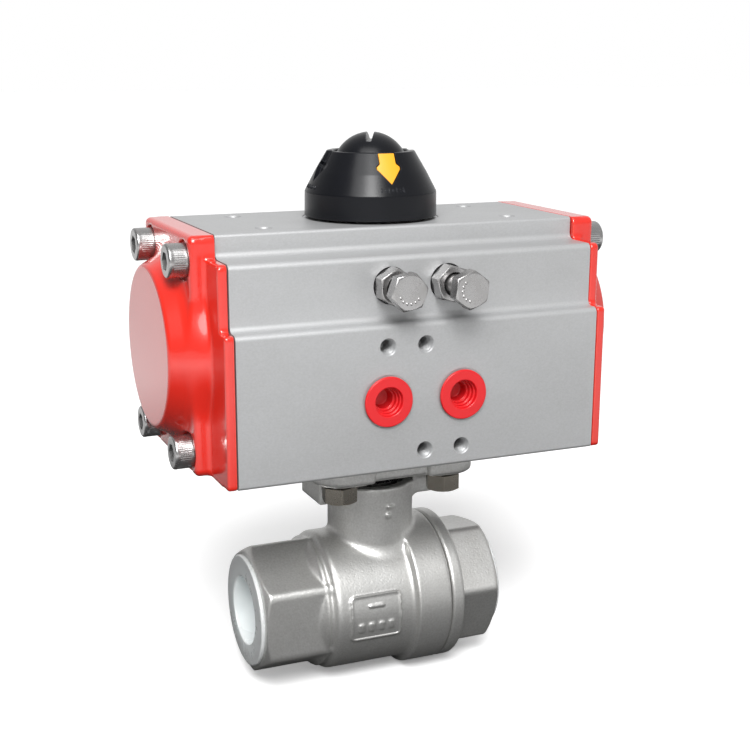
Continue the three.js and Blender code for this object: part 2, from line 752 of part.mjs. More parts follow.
function spindle() {
  return [
    piece('pinion', pinion(), finish.polished),
    piece('stop_cam', stopCam(), finish.darkSteel),
    piece('pinion_bearing_bottom', ring('z', 14.3, 15.5, 5.3, 9.3, 20), finish.acetal),
    piece('pinion_bearing_top', ring('z', 8.8, 10.9, 65.4, 69.7, 20), finish.acetal),
    piece('pinion_seal_bottom', sealRing('z', 14.1, 1.35, 3.3), finish.rubber),
    piece('pinion_seal_top', sealRing('z', 9.2, 1.65, 63), finish.rubber),
    piece('thrust_washer', ring('z', 8.8, 13.5, 70.3, 71.4, 20), finish.acetal),
    piece('snap_ring', snapRing(), finish.darkSteel),
    piece('position_indicator', indicator(), finish.blackPlastic),
    piece('indicator_screw', indicatorScrew(), finish.blackPlastic),
    piece('arrow_front', arrow(-Math.PI / 2), finish.yellowPlastic),
    piece('arrow_back', arrow(Math.PI / 2), finish.yellowPlastic),
  ];
}

function airSide() {
  return [['left', -1], ['right', 1]].flatMap(([side, sign]) => {
    const stop = [sign * stopX, 0, stopHeight];
    return [
      piece(`stop_bolt_${side}`, stopBolt(stopHeads[side]), finish.steel, stop),
      piece(`lock_nut_${side}`, lockNut(), finish.steel, stop),
      piece(`stop_seal_${side}`, ring('y', 3.3, 5.2, midY - 0.05, midY + 1.5, 14), finish.rubber, stop),
      piece(`port_plug_${side}`, portPlug(), finish.redPlastic, [(sign * portSpacing) / 2, 0, portHeight]),
    ];
  });
}

function valve() {
  const group = new THREE.Group();
  group.add(
    piece('valve_body', valveBody(), finish.stainless),
    piece('body_cap', bodyCap(), finish.stainless),
    piece('body_seal', ring('x', 19.7, 21.9, bodySplit - 1.6, bodySplit - 0.1, 20), finish.ptfe),
    piece('ball', ball(), finish.polished),
    piece('seat_left', mirrored(seat()), finish.ptfe),
    piece('seat_right', seat(), finish.ptfe),
    piece('stem', stem(), finish.stainless),
    piece('stem_thrust_seal', ring('z', 6.3, 8.3, 23.1, 24.3, 20), finish.ptfe),
    piece('stem_packing', ring('z', 6.3, 9, 27.3, 34, 20), finish.ptfe),
    piece('packing_gland', ring('z', 6.3, 9, 34.3, 39.2, 20), finish.stainless),
    piece('spring_washer_lower', springWasher(39.5, true), finish.steel),
    piece('spring_washer_upper', springWasher(40.9, false), finish.steel),
    piece('stem_nut', stemNut(), finish.steel),
    piece('pipe_plug_left', mirrored(pipePlug(-leftEnd)), finish.clearPlastic),
    piece('pipe_plug_right', pipePlug(rightEnd), finish.clearPlastic),
  );
  [[-1, -1], [1, -1], [-1, 1], [1, 1]].forEach(([x, y], i) => {
    const place = [x * boltOffset, y * boltOffset, 0];
    group.add(piece(`mounting_bolt_${i + 1}`, mountingBolt(), finish.darkSteel, place));
  });
  return group;
}

const actuatedValve = new THREE.Group();
actuatedValve.add(actuator(), valve());

export default actuatedValve;
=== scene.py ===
import json
import math

import bmesh
import bpy
import numpy as np
from mathutils import Matrix, Vector


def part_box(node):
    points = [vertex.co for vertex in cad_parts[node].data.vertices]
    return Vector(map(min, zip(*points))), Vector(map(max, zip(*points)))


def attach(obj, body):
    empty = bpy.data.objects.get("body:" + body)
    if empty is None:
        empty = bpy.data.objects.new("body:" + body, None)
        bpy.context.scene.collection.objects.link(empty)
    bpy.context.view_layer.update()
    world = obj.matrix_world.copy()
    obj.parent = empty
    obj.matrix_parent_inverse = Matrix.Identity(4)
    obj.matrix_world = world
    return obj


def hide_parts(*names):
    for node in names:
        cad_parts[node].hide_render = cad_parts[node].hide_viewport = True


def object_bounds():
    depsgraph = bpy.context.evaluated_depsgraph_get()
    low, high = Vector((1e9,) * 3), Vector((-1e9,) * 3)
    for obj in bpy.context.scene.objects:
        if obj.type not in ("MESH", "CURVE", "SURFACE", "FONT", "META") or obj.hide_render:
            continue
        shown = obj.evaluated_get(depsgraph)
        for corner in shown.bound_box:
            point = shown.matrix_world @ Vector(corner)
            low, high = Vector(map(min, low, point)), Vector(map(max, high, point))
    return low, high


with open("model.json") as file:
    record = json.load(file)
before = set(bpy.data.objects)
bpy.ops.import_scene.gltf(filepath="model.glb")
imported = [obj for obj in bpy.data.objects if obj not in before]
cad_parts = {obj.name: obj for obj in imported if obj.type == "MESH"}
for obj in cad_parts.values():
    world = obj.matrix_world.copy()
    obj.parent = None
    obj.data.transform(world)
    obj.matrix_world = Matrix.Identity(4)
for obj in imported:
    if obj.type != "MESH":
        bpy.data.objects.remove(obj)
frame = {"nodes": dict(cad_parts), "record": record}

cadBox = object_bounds()
mm = 0.001  # shapes are worked out in millimetres, meshes are in metres
shown = set()  # CAD nodes that a finer piece stands for
print("frame loaded:", len(frame["nodes"]), "nodes")


def nodeBox(node):
    low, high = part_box(node)
    return np.array(low) / mm, np.array(high) / mm


bodyLow, bodyHigh = nodeBox("actuator_body")
base, roof = bodyLow[2], bodyHigh[2]  # underside and top of the actuator, above the pipe axis
boreRise = 34.5
boreAxis = base + boreRise
boltOffset = sum(nodeBox("mounting_bolt_2"))[0] / 2  # the four bolts stand on a circle of 50 mm


def tone(red, green, blue):
    # 0 to 255 as seen on a screen, to the linear colour that a shader wants
    share = np.array([red, green, blue]) / 255
    linear = np.where(share <= 0.04045, share / 12.92, ((share + 0.055) / 1.055) ** 2.4)
    return (*linear.tolist(), 1.0)


def startGroup(name, inputs, outputs):
    group = bpy.data.node_groups.new(name, "ShaderNodeTree")
    for label, kind, value in inputs:
        socket = group.interface.new_socket(name=label, in_out="INPUT", socket_type="NodeSocket" + kind)
        if value is not None:
            socket.default_value = value
    for label in outputs:
        group.interface.new_socket(name=label, in_out="OUTPUT", socket_type="NodeSocketFloat")
    return group, group.nodes.new("NodeGroupInput"), group.nodes.new("NodeGroupOutput")


def arithmetic(tree, operation, first, second, clamp=False):
    node = tree.nodes.new("ShaderNodeMath")
    node.operation = operation
    node.use_clamp = clamp
    for socket, value in zip(node.inputs, (first, second)):
        if isinstance(value, (int, float)):
            socket.default_value = value
        else:
            tree.links.new(value, socket)
    return node.outputs[0]


def ramp(tree, value, low, high, toLow, toHigh):
    node = tree.nodes.new("ShaderNodeMapRange")
    tree.links.new(value, node.inputs["Value"])
    for label, amount in (("From Min", low), ("From Max", high), ("To Min", toLow), ("To Max", toHigh)):
        if isinstance(amount, (int, float)):
            node.inputs[label].default_value = amount
        else:
            tree.links.new(amount, node.inputs[label])
    return node.outputs["Result"]


def grainGroup():
    # fine blasted or cast grain: noise with small pits between its peaks
    group, start, end = startGroup("surfaceGrain", [
        ("Place", "Vector", None), ("Scale", "Float", 900.0), ("Pits", "Float", 0.3)], ["Height", "Speck"])
    noise = group.nodes.new("ShaderNodeTexNoise")
    noise.inputs["Detail"].default_value = 2.5
    cells = group.nodes.new("ShaderNodeTexVoronoi")
    group.links.new(start.outputs["Place"], noise.inputs["Vector"])
    group.links.new(start.outputs["Place"], cells.inputs["Vector"])
    group.links.new(start.outputs["Scale"], noise.inputs["Scale"])
    group.links.new(arithmetic(group, "MULTIPLY", start.outputs["Scale"], 0.6), cells.inputs["Scale"])
    pits = ramp(group, cells.outputs["Distance"], 0.0, 0.35, 0.0, 1.0)
    deep = arithmetic(group, "MULTIPLY", pits, start.outputs["Pits"])
    group.links.new(arithmetic(group, "ADD", noise.outputs["Fac"], deep), end.inputs["Height"])
    group.links.new(ramp(group, noise.outputs["Fac"], 0.3, 0.7, 0.0, 1.0), end.inputs["Speck"])
    return group


def stainGroup():
    # broad uneven patches, from handling, oil and the pour of the metal
    group, start, end = startGroup("broadPatches", [
        ("Place", "Vector", None), ("Scale", "Float", 40.0), ("Low", "Float", 0.4), ("High", "Float", 0.7)],
        ["Mask"])
    noise = group.nodes.new("ShaderNodeTexNoise")
    noise.inputs["Detail"].default_value = 5.0
    noise.inputs["Roughness"].default_value = 0.6
    group.links.new(start.outputs["Place"], noise.inputs["Vector"])
    group.links.new(start.outputs["Scale"], noise.inputs["Scale"])
    mask = ramp(group, noise.outputs["Fac"], start.outputs["Low"], start.outputs["High"], 0.0, 1.0)
    group.links.new(mask, end.inputs["Mask"])
    return group


def wearGroup():
    # rubbed edges: where a normal rounded over the width leaves the true one, broken up by noise
    group, start, end = startGroup("edgeWear", [
        ("Place", "Vector", None), ("Width", "Float", 0.0004), ("Amount", "Float", 0.6),
        ("Breaks", "Float", 600.0)], ["Mask"])
    edge = group.nodes.new("ShaderNodeBevel")
    edge.samples = 4
    facts = group.nodes.new("ShaderNodeNewGeometry")
    facing = group.nodes.new("ShaderNodeVectorMath")
    facing.operation = "DOT_PRODUCT"
    noise = group.nodes.new("ShaderNodeTexNoise")
    group.links.new(start.outputs["Width"], edge.inputs["Radius"])
    group.links.new(edge.outputs["Normal"], facing.inputs[0])
    group.links.new(facts.outputs["Normal"], facing.inputs[1])
    group.links.new(start.outputs["Place"], noise.inputs["Vector"])
    group.links.new(start.outputs["Breaks"], noise.inputs["Scale"])
    rubbed = ramp(group, facing.outputs["Value"], 0.995, 0.9, 0.0, 1.0)
    broken = ramp(group, noise.outputs["Fac"], 0.35, 0.65, 0.2, 1.0)
    both = arithmetic(group, "MULTIPLY", rubbed, broken)
    group.links.new(arithmetic(group, "MULTIPLY", both, start.outputs["Amount"], True), end.inputs["Mask"])
    return group


grain, patches, wear = grainGroup(), stainGroup(), wearGroup()

# what every finish starts from; each one below names only what differs
plainFinish = {
    "metallic": 0.0, "roughness": (0.4, 0.55), "stretch": (1, 1, 1), "grainScale": 900.0, "pits": 0.3,
    "bump": 0.15, "depth": 0.00005, "patchScale": 40.0, "patchRange": (0.4, 0.7), "patch": 0.35,
    "speck": 0.1, "wearWidth": 0.0, "wearAmount": 0.0, "coat": 0.0, "coatRoughness": 0.05, "ior": 1.5,
    "subsurface": 0.0, "scatter": 0.001, "specular": 0.5,
}
finishes = {
    "anodised": {"colour": (174, 175, 176), "other": (158, 158, 158), "metallic": 0.5,
                 "roughness": (0.42, 0.52), "grainScale": 2300.0, "bump": 0.4, "depth": 0.00007, "speck": 0.4,
                 "patchScale": 30.0, "patch": 0.35, "stretch": (0.7, 1, 1)},
    "castAluminium": {"colour": (176, 177, 176), "other": (150, 151, 150), "metallic": 0.8,
                      "roughness": (0.35, 0.5), "grainScale": 1100.0, "bump": 0.2},
    "redPaint": {"colour": (197, 36, 24), "other": (187, 31, 21), "roughness": (0.2, 0.28),
                 "coat": 0.7, "grainScale": 260.0, "pits": 0.0, "bump": 0.05, "depth": 0.0001,
                 "patch": 0.5, "speck": 0.03, "wearColour": (246, 108, 78), "wearWidth": 0.0006,
                 "wearAmount": 0.35},
    "brightSteel": {"colour": (176, 175, 175), "other": (150, 148, 145), "metallic": 0.95,
                    "roughness": (0.24, 0.4), "grainScale": 2000.0, "bump": 0.2, "patchScale": 160.0,
                    "wearColour": (232, 231, 228), "wearWidth": 0.0003, "wearAmount": 0.5},
    "darkSteel": {"colour": (150, 145, 136), "other": (112, 105, 96), "metallic": 0.95,
                  "roughness": (0.26, 0.4), "grainScale": 900.0, "patchScale": 150.0,
                  "wearColour": (176, 165, 150), "wearWidth": 0.0004, "wearAmount": 0.7},
    "platedSteel": {"colour": (185, 186, 186), "other": (160, 161, 163), "metallic": 1.0,
                    "roughness": (0.22, 0.34), "grainScale": 1200.0},
    "castStainless": {"colour": (216, 216, 214), "other": (184, 183, 180), "metallic": 0.87,
                      "roughness": (0.4, 0.52), "grainScale": 1500.0, "pits": 0.6, "bump": 0.45,
                      "depth": 0.0001, "patchScale": 55.0, "patch": 0.4, "speck": 0.45,
                      "wearColour": (208, 207, 203), "wearWidth": 0.0008, "wearAmount": 0.45},
    "polishedStainless": {"colour": (203, 202, 199), "other": (188, 187, 183), "metallic": 1.0,
                          "roughness": (0.08, 0.16), "stretch": (1, 1, 6), "grainScale": 700.0,
                          "bump": 0.04},
    "blackRubber": {"colour": (34, 34, 35), "other": (48, 47, 46), "roughness": (0.6, 0.8),
                    "grainScale": 800.0, "bump": 0.2},
    "whiteAcetal": {"colour": (232, 228, 218), "other": (220, 215, 203), "roughness": (0.4, 0.55),
                    "subsurface": 0.1},
    "ptfe": {"colour": (238, 236, 229), "other": (226, 223, 214), "roughness": (0.45, 0.6),
             "subsurface": 0.1},
    "blackPlastic": {"colour": (13, 14, 17), "other": (20, 21, 26), "roughness": (0.24, 0.32),
                     "grainScale": 1300.0, "bump": 0.03, "speck": 0.12, "wearColour": (74, 76, 82),
                     "wearWidth": 0.0005, "wearAmount": 0.35, "specular": 0.25},
    "yellowPlastic": {"colour": (218, 150, 24), "other": (210, 141, 21), "roughness": (0.42, 0.55),
                      "grainScale": 1000.0, "subsurface": 0.05},
    "redPlastic": {"colour": (198, 22, 28), "other": (184, 18, 24), "roughness": (0.32, 0.42),
                   "grainScale": 600.0, "bump": 0.06, "subsurface": 0.04},
    "clearPlastic": {"colour": (234, 239, 239), "other": (222, 230, 231), "roughness": (0.26, 0.38),
                     "grainScale": 500.0, "bump": 0.05, "subsurface": 0.9, "scatter": 0.004, "ior": 1.9,
                     "coat": 0.8, "coatRoughness": 0.15},
}


def buildFinish(name, own):
    look = {**plainFinish, **own}
    material = bpy.data.materials.new(name)
    material.use_nodes = True
    tree = material.node_tree
    shader = tree.nodes["Principled BSDF"]
    place = tree.nodes.new("ShaderNodeTexCoord")
    mapping = tree.nodes.new("ShaderNodeMapping")
    mapping.inputs["Scale"].default_value = look["stretch"]
    tree.links.new(place.outputs["Object"], mapping.inputs["Vector"])

    def effect(group, **values):
        node = tree.nodes.new("ShaderNodeGroup")
        node.node_tree = group
        tree.links.new(mapping.outputs["Vector"], node.inputs["Place"])
        for label, value in values.items():
            node.inputs[label].default_value = value
        return node.outputs

    def mixed(factor, first, second):
        node = tree.nodes.new("ShaderNodeMix")
        node.data_type = "RGBA"
        tree.links.new(factor, node.inputs[0])
        for socket, value in ((node.inputs[6], first), (node.inputs[7], second)):
            if isinstance(value, tuple):
                socket.default_value = value
            else:
                tree.links.new(value, socket)
        return node.outputs[2]

    fine = effect(grain, Scale=look["grainScale"], Pits=look["pits"])
    low, high = look["patchRange"]
    broad = effect(patches, Scale=look["patchScale"], Low=low, High=high)
    share = arithmetic(tree, "MULTIPLY", broad["Mask"], look["patch"])
    share = arithmetic(tree, "ADD", share, arithmetic(tree, "MULTIPLY", fine["Speck"], look["speck"]), True)
    colour = mixed(share, tone(*look["colour"]), tone(*look["other"]))
    smooth = ramp(tree, share, 0.0, 1.0, *look["roughness"])
    if look["wearAmount"]:
        rubbed = effect(wear, Width=look["wearWidth"], Amount=look["wearAmount"])["Mask"]
        colour = mixed(rubbed, colour, tone(*look["wearColour"]))
    tree.links.new(colour, shader.inputs["Base Color"])
    tree.links.new(smooth, shader.inputs["Roughness"])
    bump = tree.nodes.new("ShaderNodeBump")
    bump.inputs["Strength"].default_value = look["bump"]
    bump.inputs["Distance"].default_value = look["depth"]
    tree.links.new(fine["Height"], bump.inputs["Height"])
    tree.links.new(bump.outputs["Normal"], shader.inputs["Normal"])
    for label, key in (("Metallic", "metallic"), ("Coat Weight", "coat"),
                       ("Coat Roughness", "coatRoughness"), ("IOR", "ior"),
                       ("Subsurface Weight", "subsurface"), ("Subsurface Scale", "scatter"),
                       ("Specular IOR Level", "specular")):
        shader.inputs[label].default_value = look[key]
    shader.inputs["Subsurface Radius"].default_value = (1, 1, 1)
    return material


materials = {name: buildFinish(name, own) for name, own in finishes.items()}
print("finishes built:", len(materials))


def lay(points, axis):
    # across, across, along becomes x, y, z with the third number lying on the named axis
    return points[:, {"x": (2, 0, 1), "y": (1, 2, 0), "z": (0, 1, 2)}[axis]]


def meshObject(name, points, faces):
    mesh = bpy.data.meshes.new(name)
    mesh.from_pydata((np.asarray(points) * mm).tolist(), [], [list(face) for face in faces])
    work = bmesh.new()
    work.from_mesh(mesh)
    bmesh.ops.remove_doubles(work, verts=work.verts, dist=1e-7)
    if work.calc_volume(signed=True) < 0:
        bmesh.ops.reverse_faces(work, faces=work.faces)
    work.to_mesh(mesh)
    work.free()
    piece = bpy.data.objects.new(name, mesh)
    bpy.context.scene.collection.objects.link(piece)
    return piece


def roundedPath(corners, closed=True):
    # each corner with a radius is replaced by an arc that leaves both of its sides tangent
    path = []
    last = len(corners) - 1
    for i, (u, v, *rest) in enumerate(corners):
        radius = rest[0] if rest else 0
        here = np.array([u, v], float)
        if not radius or (not closed and i in (0, last)):
            path.append(here)
            continue
        before = np.array(corners[i - 1][:2]) - here
        after = np.array(corners[(i + 1) % len(corners)][:2]) - here
        before, after = before / np.linalg.norm(before), after / np.linalg.norm(after)
        half = math.acos(float(np.clip(before @ after, -1, 1))) / 2
        inward = (before + after) / np.linalg.norm(before + after)
        centre = here + inward * radius / math.sin(half)
        start = here + before * radius / math.tan(half) - centre
        end = here + after * radius / math.tan(half) - centre
        sweep = math.atan2(start[0] * end[1] - start[1] * end[0], start @ end)
        turns = np.linspace(0, sweep, max(3, int(abs(sweep) / 0.2) + 2))
        path.extend(centre + np.stack([
            start[0] * np.cos(turns) - start[1] * np.sin(turns),
            start[0] * np.sin(turns) + start[1] * np.cos(turns)], axis=1))
    return np.array(path)


def refined(path, spacing):
    # the same path with points no further apart than the spacing
    lengths = np.r_[0, np.cumsum(np.linalg.norm(np.diff(path, axis=0), axis=1))]
    marks = np.union1d(lengths, np.arange(0, lengths[-1], spacing))
    return np.stack([np.interp(marks, lengths, path[:, k]) for k in (0, 1)], axis=1)


def turnedPiece(name, profile, axis="z", centre=(0, 0, 0), steps=96, relief=None):
    # a profile of radius and distance carried round the axis: radius times the cosine and sine of the
    # angle, and the distance; relief adds to the radius at each distance and angle
    profile = np.asarray(profile, float)
    ring = np.allclose(profile[0], profile[-1])
    path = profile[:-1] if ring else profile
    angle = np.arange(steps) * 2 * math.pi / steps
    radius = np.repeat(path[:, :1], steps, axis=1)
    along = np.repeat(path[:, 1:], steps, axis=1)
    if relief is not None:
        radius = np.where(radius > 0, radius + relief(radius, along, angle[None, :]), 0)
    points = np.stack([radius * np.cos(angle), radius * np.sin(angle), along], axis=2).reshape(-1, 3)
    rows = np.arange(len(path) if ring else len(path) - 1)[:, None]
    columns = np.arange(steps)[None, :]
    nextRow = (rows + 1) % len(path)
    nextColumn = (columns + 1) % steps
    faces = np.stack([rows * steps + columns, rows * steps + nextColumn, nextRow * steps + nextColumn,
                      nextRow * steps + columns], axis=2).reshape(-1, 4)
    return meshObject(name, lay(points, axis) + np.array(centre), faces)


def drawnPiece(name, outline, start, end, axis="z", centre=(0, 0, 0)):
    # a flat outline drawn out along the axis, with both ends closed
    outline = np.asarray(outline, float)
    count = len(outline)
    points = np.concatenate([np.c_[outline, np.full(count, float(at))] for at in (start, end)])
    here = np.arange(count)
    onward = (here + 1) % count
    sides = np.stack([here, onward, onward + count, here + count], axis=1).tolist()
    faces = sides + [here[::-1].tolist(), (here + count).tolist()]
    return meshObject(name, lay(points, axis) + np.array(centre), faces)


def hexOutline(flats, turn=0.0, radius=0.0):
    # corners at every sixth of a turn, as far out as the width across flats over the root of three
    angles = turn + np.arange(6) * math.pi / 3
    reach = flats / math.sqrt(3)
    return roundedPath([[reach * math.cos(a), reach * math.sin(a), radius] for a in angles])


def drop(piece):
    mesh = piece.data
    bpy.data.objects.remove(piece)
    bpy.data.meshes.remove(mesh)


def shaped(piece, operation, *tools):
    # joins, cuts or crosses a piece with others, which are used up
    for tool in tools:
        step = piece.modifiers.new("shape", "BOOLEAN")
        step.solver = "MANIFOLD"
        step.operation = operation
        step.object = tool
    bpy.context.view_layer.update()
    made = bpy.data.meshes.new_from_object(piece.evaluated_get(bpy.context.evaluated_depsgraph_get()))
    piece.modifiers.clear()
    old, piece.data = piece.data, made
    made.name = piece.name
    bpy.data.meshes.remove(old)
    for tool in tools:
        drop(tool)
    return piece


def cut(piece, *tools):
    return shaped(piece, "DIFFERENCE", *tools)


def joined(piece, *tools):
    return shaped(piece, "UNION", *tools)


def hexPiece(name, flats, start, end, axis, centre, turn, chamfers):
    # a hexagon crossed with a turned blank, which gives the curved chamfer lines on its flats
    lowCut, highCut = chamfers
    wide, face = flats * 0.6, flats * 0.475
    rise = (wide - face) * 0.55
    profile = [[0, start], [face if lowCut else wide, start], [wide, start + (rise if lowCut else 0)],
               [wide, end - (rise if highCut else 0)], [face if highCut else wide, end], [0, end]]
    blank = turnedPiece("blank", profile, axis, centre, steps=120)
    body = drawnPiece(name, hexOutline(flats, turn, 0.25), start, end, axis, centre)
    return shaped(body, "INTERSECT", blank)


def threadWave(pitch, depth, low, high):
    # a ridge that climbs one pitch in each turn, between two distances along the axis
    def relief(radius, along, angle):
        phase = (along / pitch - angle / (2 * math.pi)) % 1
        fade = np.clip((along - low) / pitch, 0, 1) * np.clip((high - along) / pitch, 0, 1)
        return -depth * np.abs(2 * phase - 1) * fade
    return relief


def softMin(first, second, blend):
    # the lower of two fields, and lower still by a parabola where they are within the blend of each other
    gap = np.clip(blend - np.abs(first - second), 0, None)
    return np.minimum(first, second) - gap * gap / (4 * blend)


def softMax(first, second, blend):
    return -softMin(-first, -second, blend)


def slab(value, low, high):
    # distance out of the span from low to high
    return np.abs(value - (low + high) / 2) - (high - low) / 2


def softBox(u, v, halfU, halfV, radius):
    # distance to a rectangle with round corners, less than nothing inside it
    overU, overV = np.abs(u) - halfU + radius, np.abs(v) - halfV + radius
    outside = np.hypot(np.clip(overU, 0, None), np.clip(overV, 0, None))
    return outside + np.minimum(np.maximum(overU, overV), 0) - radius


def hexField(u, v, half, turn, blend):
    # distance to a hexagon with a corner at the turn, its corners rounded by the blend
    sides = [np.abs(u * math.cos(turn + a) + v * math.sin(turn + a)) for a in np.radians([30, 90, 150])]
    return softMax(softMax(sides[0], sides[1], blend), sides[2], blend) - half


def castPiece(name, field, low, high, pitch, mirror=False):
    # space is cut into cubes, and each cube that the zero level of the field passes through gets a point
    # at the mean of its edge crossings, which then steps along the slope of the field onto the level
    counts = np.ceil((np.array(high) - np.array(low)) / pitch).astype(int) + 1
    grid = np.meshgrid(*[low[k] + pitch * np.arange(counts[k]) for k in range(3)], indexing="ij")
    value = field(*grid)
    total = np.zeros((*(counts - 1), 3))
    hits = np.zeros(counts - 1)
    edges = []
    for axis in range(3):
        sideA, sideB = (axis + 1) % 3, (axis + 2) % 3
        near, far = [slice(None)] * 3, [slice(None)] * 3
        near[axis], far[axis] = slice(0, -1), slice(1, None)
        start, end = value[tuple(near)], value[tuple(far)]
        crossed = (start < 0) != (end < 0)
        share = np.where(crossed, start / np.where(crossed, start - end, 1), 0)
        for a in (0, 1):
            for b in (0, 1):
                window = [slice(None)] * 3
                window[sideA] = slice(a, counts[sideA] - 1 + a)
                window[sideB] = slice(b, counts[sideB] - 1 + b)
                window = tuple(window)
                hits += crossed[window]
                for k in range(3):
                    spot = grid[k][tuple(near)] + (share * pitch if k == axis else 0)
                    total[..., k] += spot[window] * crossed[window]
        edges.append((sideA, sideB, np.argwhere(crossed), start[crossed] < 0))
    active = hits > 0
    number = np.full(active.shape, -1)
    number[active] = np.arange(active.sum())
    points = total[active] / hits[active][:, None]
    faces = []
    for sideA, sideB, places, inside in edges:
        corners = []
        for a, b in ((-1, -1), (0, -1), (0, 0), (-1, 0)):
            cell = places.copy()
            cell[:, sideA] += a
            cell[:, sideB] += b
            corners.append(number[tuple(cell.T)])
        quads = np.stack(corners, axis=1)
        quads[~inside] = quads[~inside, ::-1]
        faces.append(quads)
    step = pitch * 0.02
    for turn in range(4):
        level = field(*points.T)
        slope = np.stack([
            field(*(points + step * axis).T) - field(*(points - step * axis).T) for axis in np.eye(3)],
            axis=1) / (2 * step)
        points = points - slope * (level / np.clip((slope ** 2).sum(1), 0.3, None))[:, None]
    if mirror:
        points[:, 0] *= -1
    return meshObject(name, points, np.concatenate(faces))


def settle(piece, body, slotName, finish, *nodes, crease=32, even=True):
    # the finish, the shading and what the frame needs to know of a finished piece
    mesh = piece.data
    mesh.materials.clear()
    mesh.materials.append(materials[finish])
    mesh.shade_smooth()
    if crease:
        mesh.set_sharp_from_angle(angle=math.radians(crease))
    if even:
        flatten = piece.modifiers.new("evenNormals", "WEIGHTED_NORMAL")
        flatten.keep_sharp = True
    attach(piece, body)
    if nodes:
        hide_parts(*nodes)
        shown.update(nodes)
    return piece


bodySizes = {
    "padY": -41.5, "midY": -36.4, "topY": 24.1, "backY": 33.0, "bevel": 5.0, "padTop": 44.3,
    "midTop": 63.2, "height": 70.0, "bore": 26.0, "bottomHole": 15.8, "topHole": 11.2, "spot": 21.2,
    "portSpot": 7.9, "spotDepth": 0.2, "port": 6.3, "portDepth": 10.5, "airHole": 2.2,
    "portRise": 21.6, "portSpacing": 24.0,
    "screwRise": 16.0, "tap": 2.35, "tapDepth": 8.0, "topTap": (40.0, 15.0), "stopX": 9.0,
    "stopRise": 54.5, "sealSpot": 5.5, "sealDepth": 1.8, "screwHole": 3.3, "capScrew": (18.5, 28.0),
}


def bodyOutline():
    # the stepped cross-section, y and height, with the rounding of each corner
    s = bodySizes
    return roundedPath([
        [s["padY"], 0, 0.9], [s["backY"] - s["bevel"], 0, 1.5], [s["backY"], s["bevel"], 1.5],
        [s["backY"], s["midTop"], 1.8], [s["topY"], s["midTop"], 1.9],
        [s["topY"], s["height"], 1.0], [-s["topY"], s["height"], 1.0],
        [-s["topY"], s["midTop"], 2.0], [s["midY"], s["midTop"], 1.8],
        [s["midY"], s["padTop"], 1.9], [s["padY"], s["padTop"], 1.7],
    ])


def drilled(axis, radius, start, end, place, steps=64, mouth=0.35):
    # a drill that leaves a small countersink at its starting end
    way = 1 if end > start else -1
    return turnedPiece("drill", [
        [0, start - way * 1], [radius + mouth, start - way * 1], [radius + mouth, start],
        [radius, start + way * mouth], [radius, end], [0, end + way * radius * 0.5]], axis, place, steps)


def tapped(axis, radius, start, end, place):
    # a drilled hole with a countersunk mouth and a cut thread
    way = 1 if end > start else -1
    pitch, depth = 0.8, 0.38
    profile = roundedPath([
        [0, start - way], [radius + 0.3, start - way], [radius + 0.3, start], [radius, start + way * 0.35],
        [radius, end], [0, end + way * radius * 0.5]])
    low, high = min(start + way * 0.3, end), max(start + way * 0.3, end)
    return turnedPiece("tap", refined(profile, 0.14), axis, place, 48, threadWave(pitch, depth, low, high))


def actuatorBody():
    s = bodySizes
    signs = (-1, 1)
    body = drawnPiece("actuator_housing", bodyOutline(), bodyLow[0], bodyHigh[0], "x", (0, 0, base))
    half = bodyHigh[0]
    spotFloor = roof - s["spotDepth"]
    tools = [
        turnedPiece("bore", [[0, -half - 1], [s["bore"], -half - 1], [s["bore"], half + 1], [0, half + 1]],
                    "x", (0, 0, boreAxis), 160),
        turnedPiece("shaftWay", [
            [0, base - 1], [s["bottomHole"], base - 1], [s["bottomHole"], boreAxis],
            [s["topHole"], boreAxis], [s["topHole"], spotFloor], [s["spot"], spotFloor],
            [s["spot"], roof + 1], [0, roof + 1]], steps=160),
    ]
    for side in signs:
        port = (side * s["portSpacing"] / 2, 0, base + s["portRise"])
        face, floor, deep = s["padY"], s["padY"] + s["spotDepth"], s["padY"] + s["portDepth"]
        tools.append(turnedPiece("port", [
            [0, face - 1], [s["portSpot"], face - 1], [s["portSpot"], floor], [s["port"], floor],
            [s["port"], deep], [s["airHole"], deep], [s["airHole"], -20], [0, -20]], "y", port, 96))
        stop = (side * s["stopX"], 0, base + s["stopRise"])
        face, floor = s["midY"], s["midY"] + s["sealDepth"]
        tools.append(turnedPiece("stopWay", [
            [0, face - 1], [s["sealSpot"], face - 1], [s["sealSpot"], floor], [s["screwHole"], floor],
            [s["screwHole"], -10], [0, -10]], "y", stop, 64))
        for other in signs:
            place = (side * s["topTap"][0], other * s["topTap"][1], 0)
            tools.append(tapped("z", s["tap"], roof, roof - 7, place))
            place = (side * boltOffset, other * boltOffset, 0)
            tools.append(drilled("z", s["screwHole"], base, base + 11, place))
        for y in signs:
            for z in signs:
                place = (0, y * s["capScrew"][0], boreAxis + z * s["capScrew"][1])
                tools.append(drilled("x", s["screwHole"], side * half, side * (half - 14), place, 32))
    for x, up in ((-0.5, 1), (0, 1), (0, -1), (0.5, -1)):
        place = (x * s["portSpacing"], 0, base + s["portRise"] + up * s["screwRise"])
        tools.append(tapped("y", s["tap"], s["padY"], s["padY"] + s["tapDepth"], place))
    cut(body, *tools)
    return settle(body, "housing", "anodised_aluminium", "anodised", "actuator_body")


actuatorBody()
print("actuator body cut")


capSizes = {
    "flange": 2.8, "block": 7.5, "depth": 14.2, "blockHalf": 25.5, "height": 70.0, "domeFoot": 29.5,
    "coneFoot": 28.1, "coneDepth": 7.2, "coneLean": 0.5625, "pocket": 5.7, "pocketFloor": 6.5,
    "screwHole": 3.3, "hollow": (25.5, 5.0), "hollowEnd": (20.5, 11.2), "groove": (27.3, 29.7, 2.1),
    "gap": 0.3, "pitch": 0.42,
}
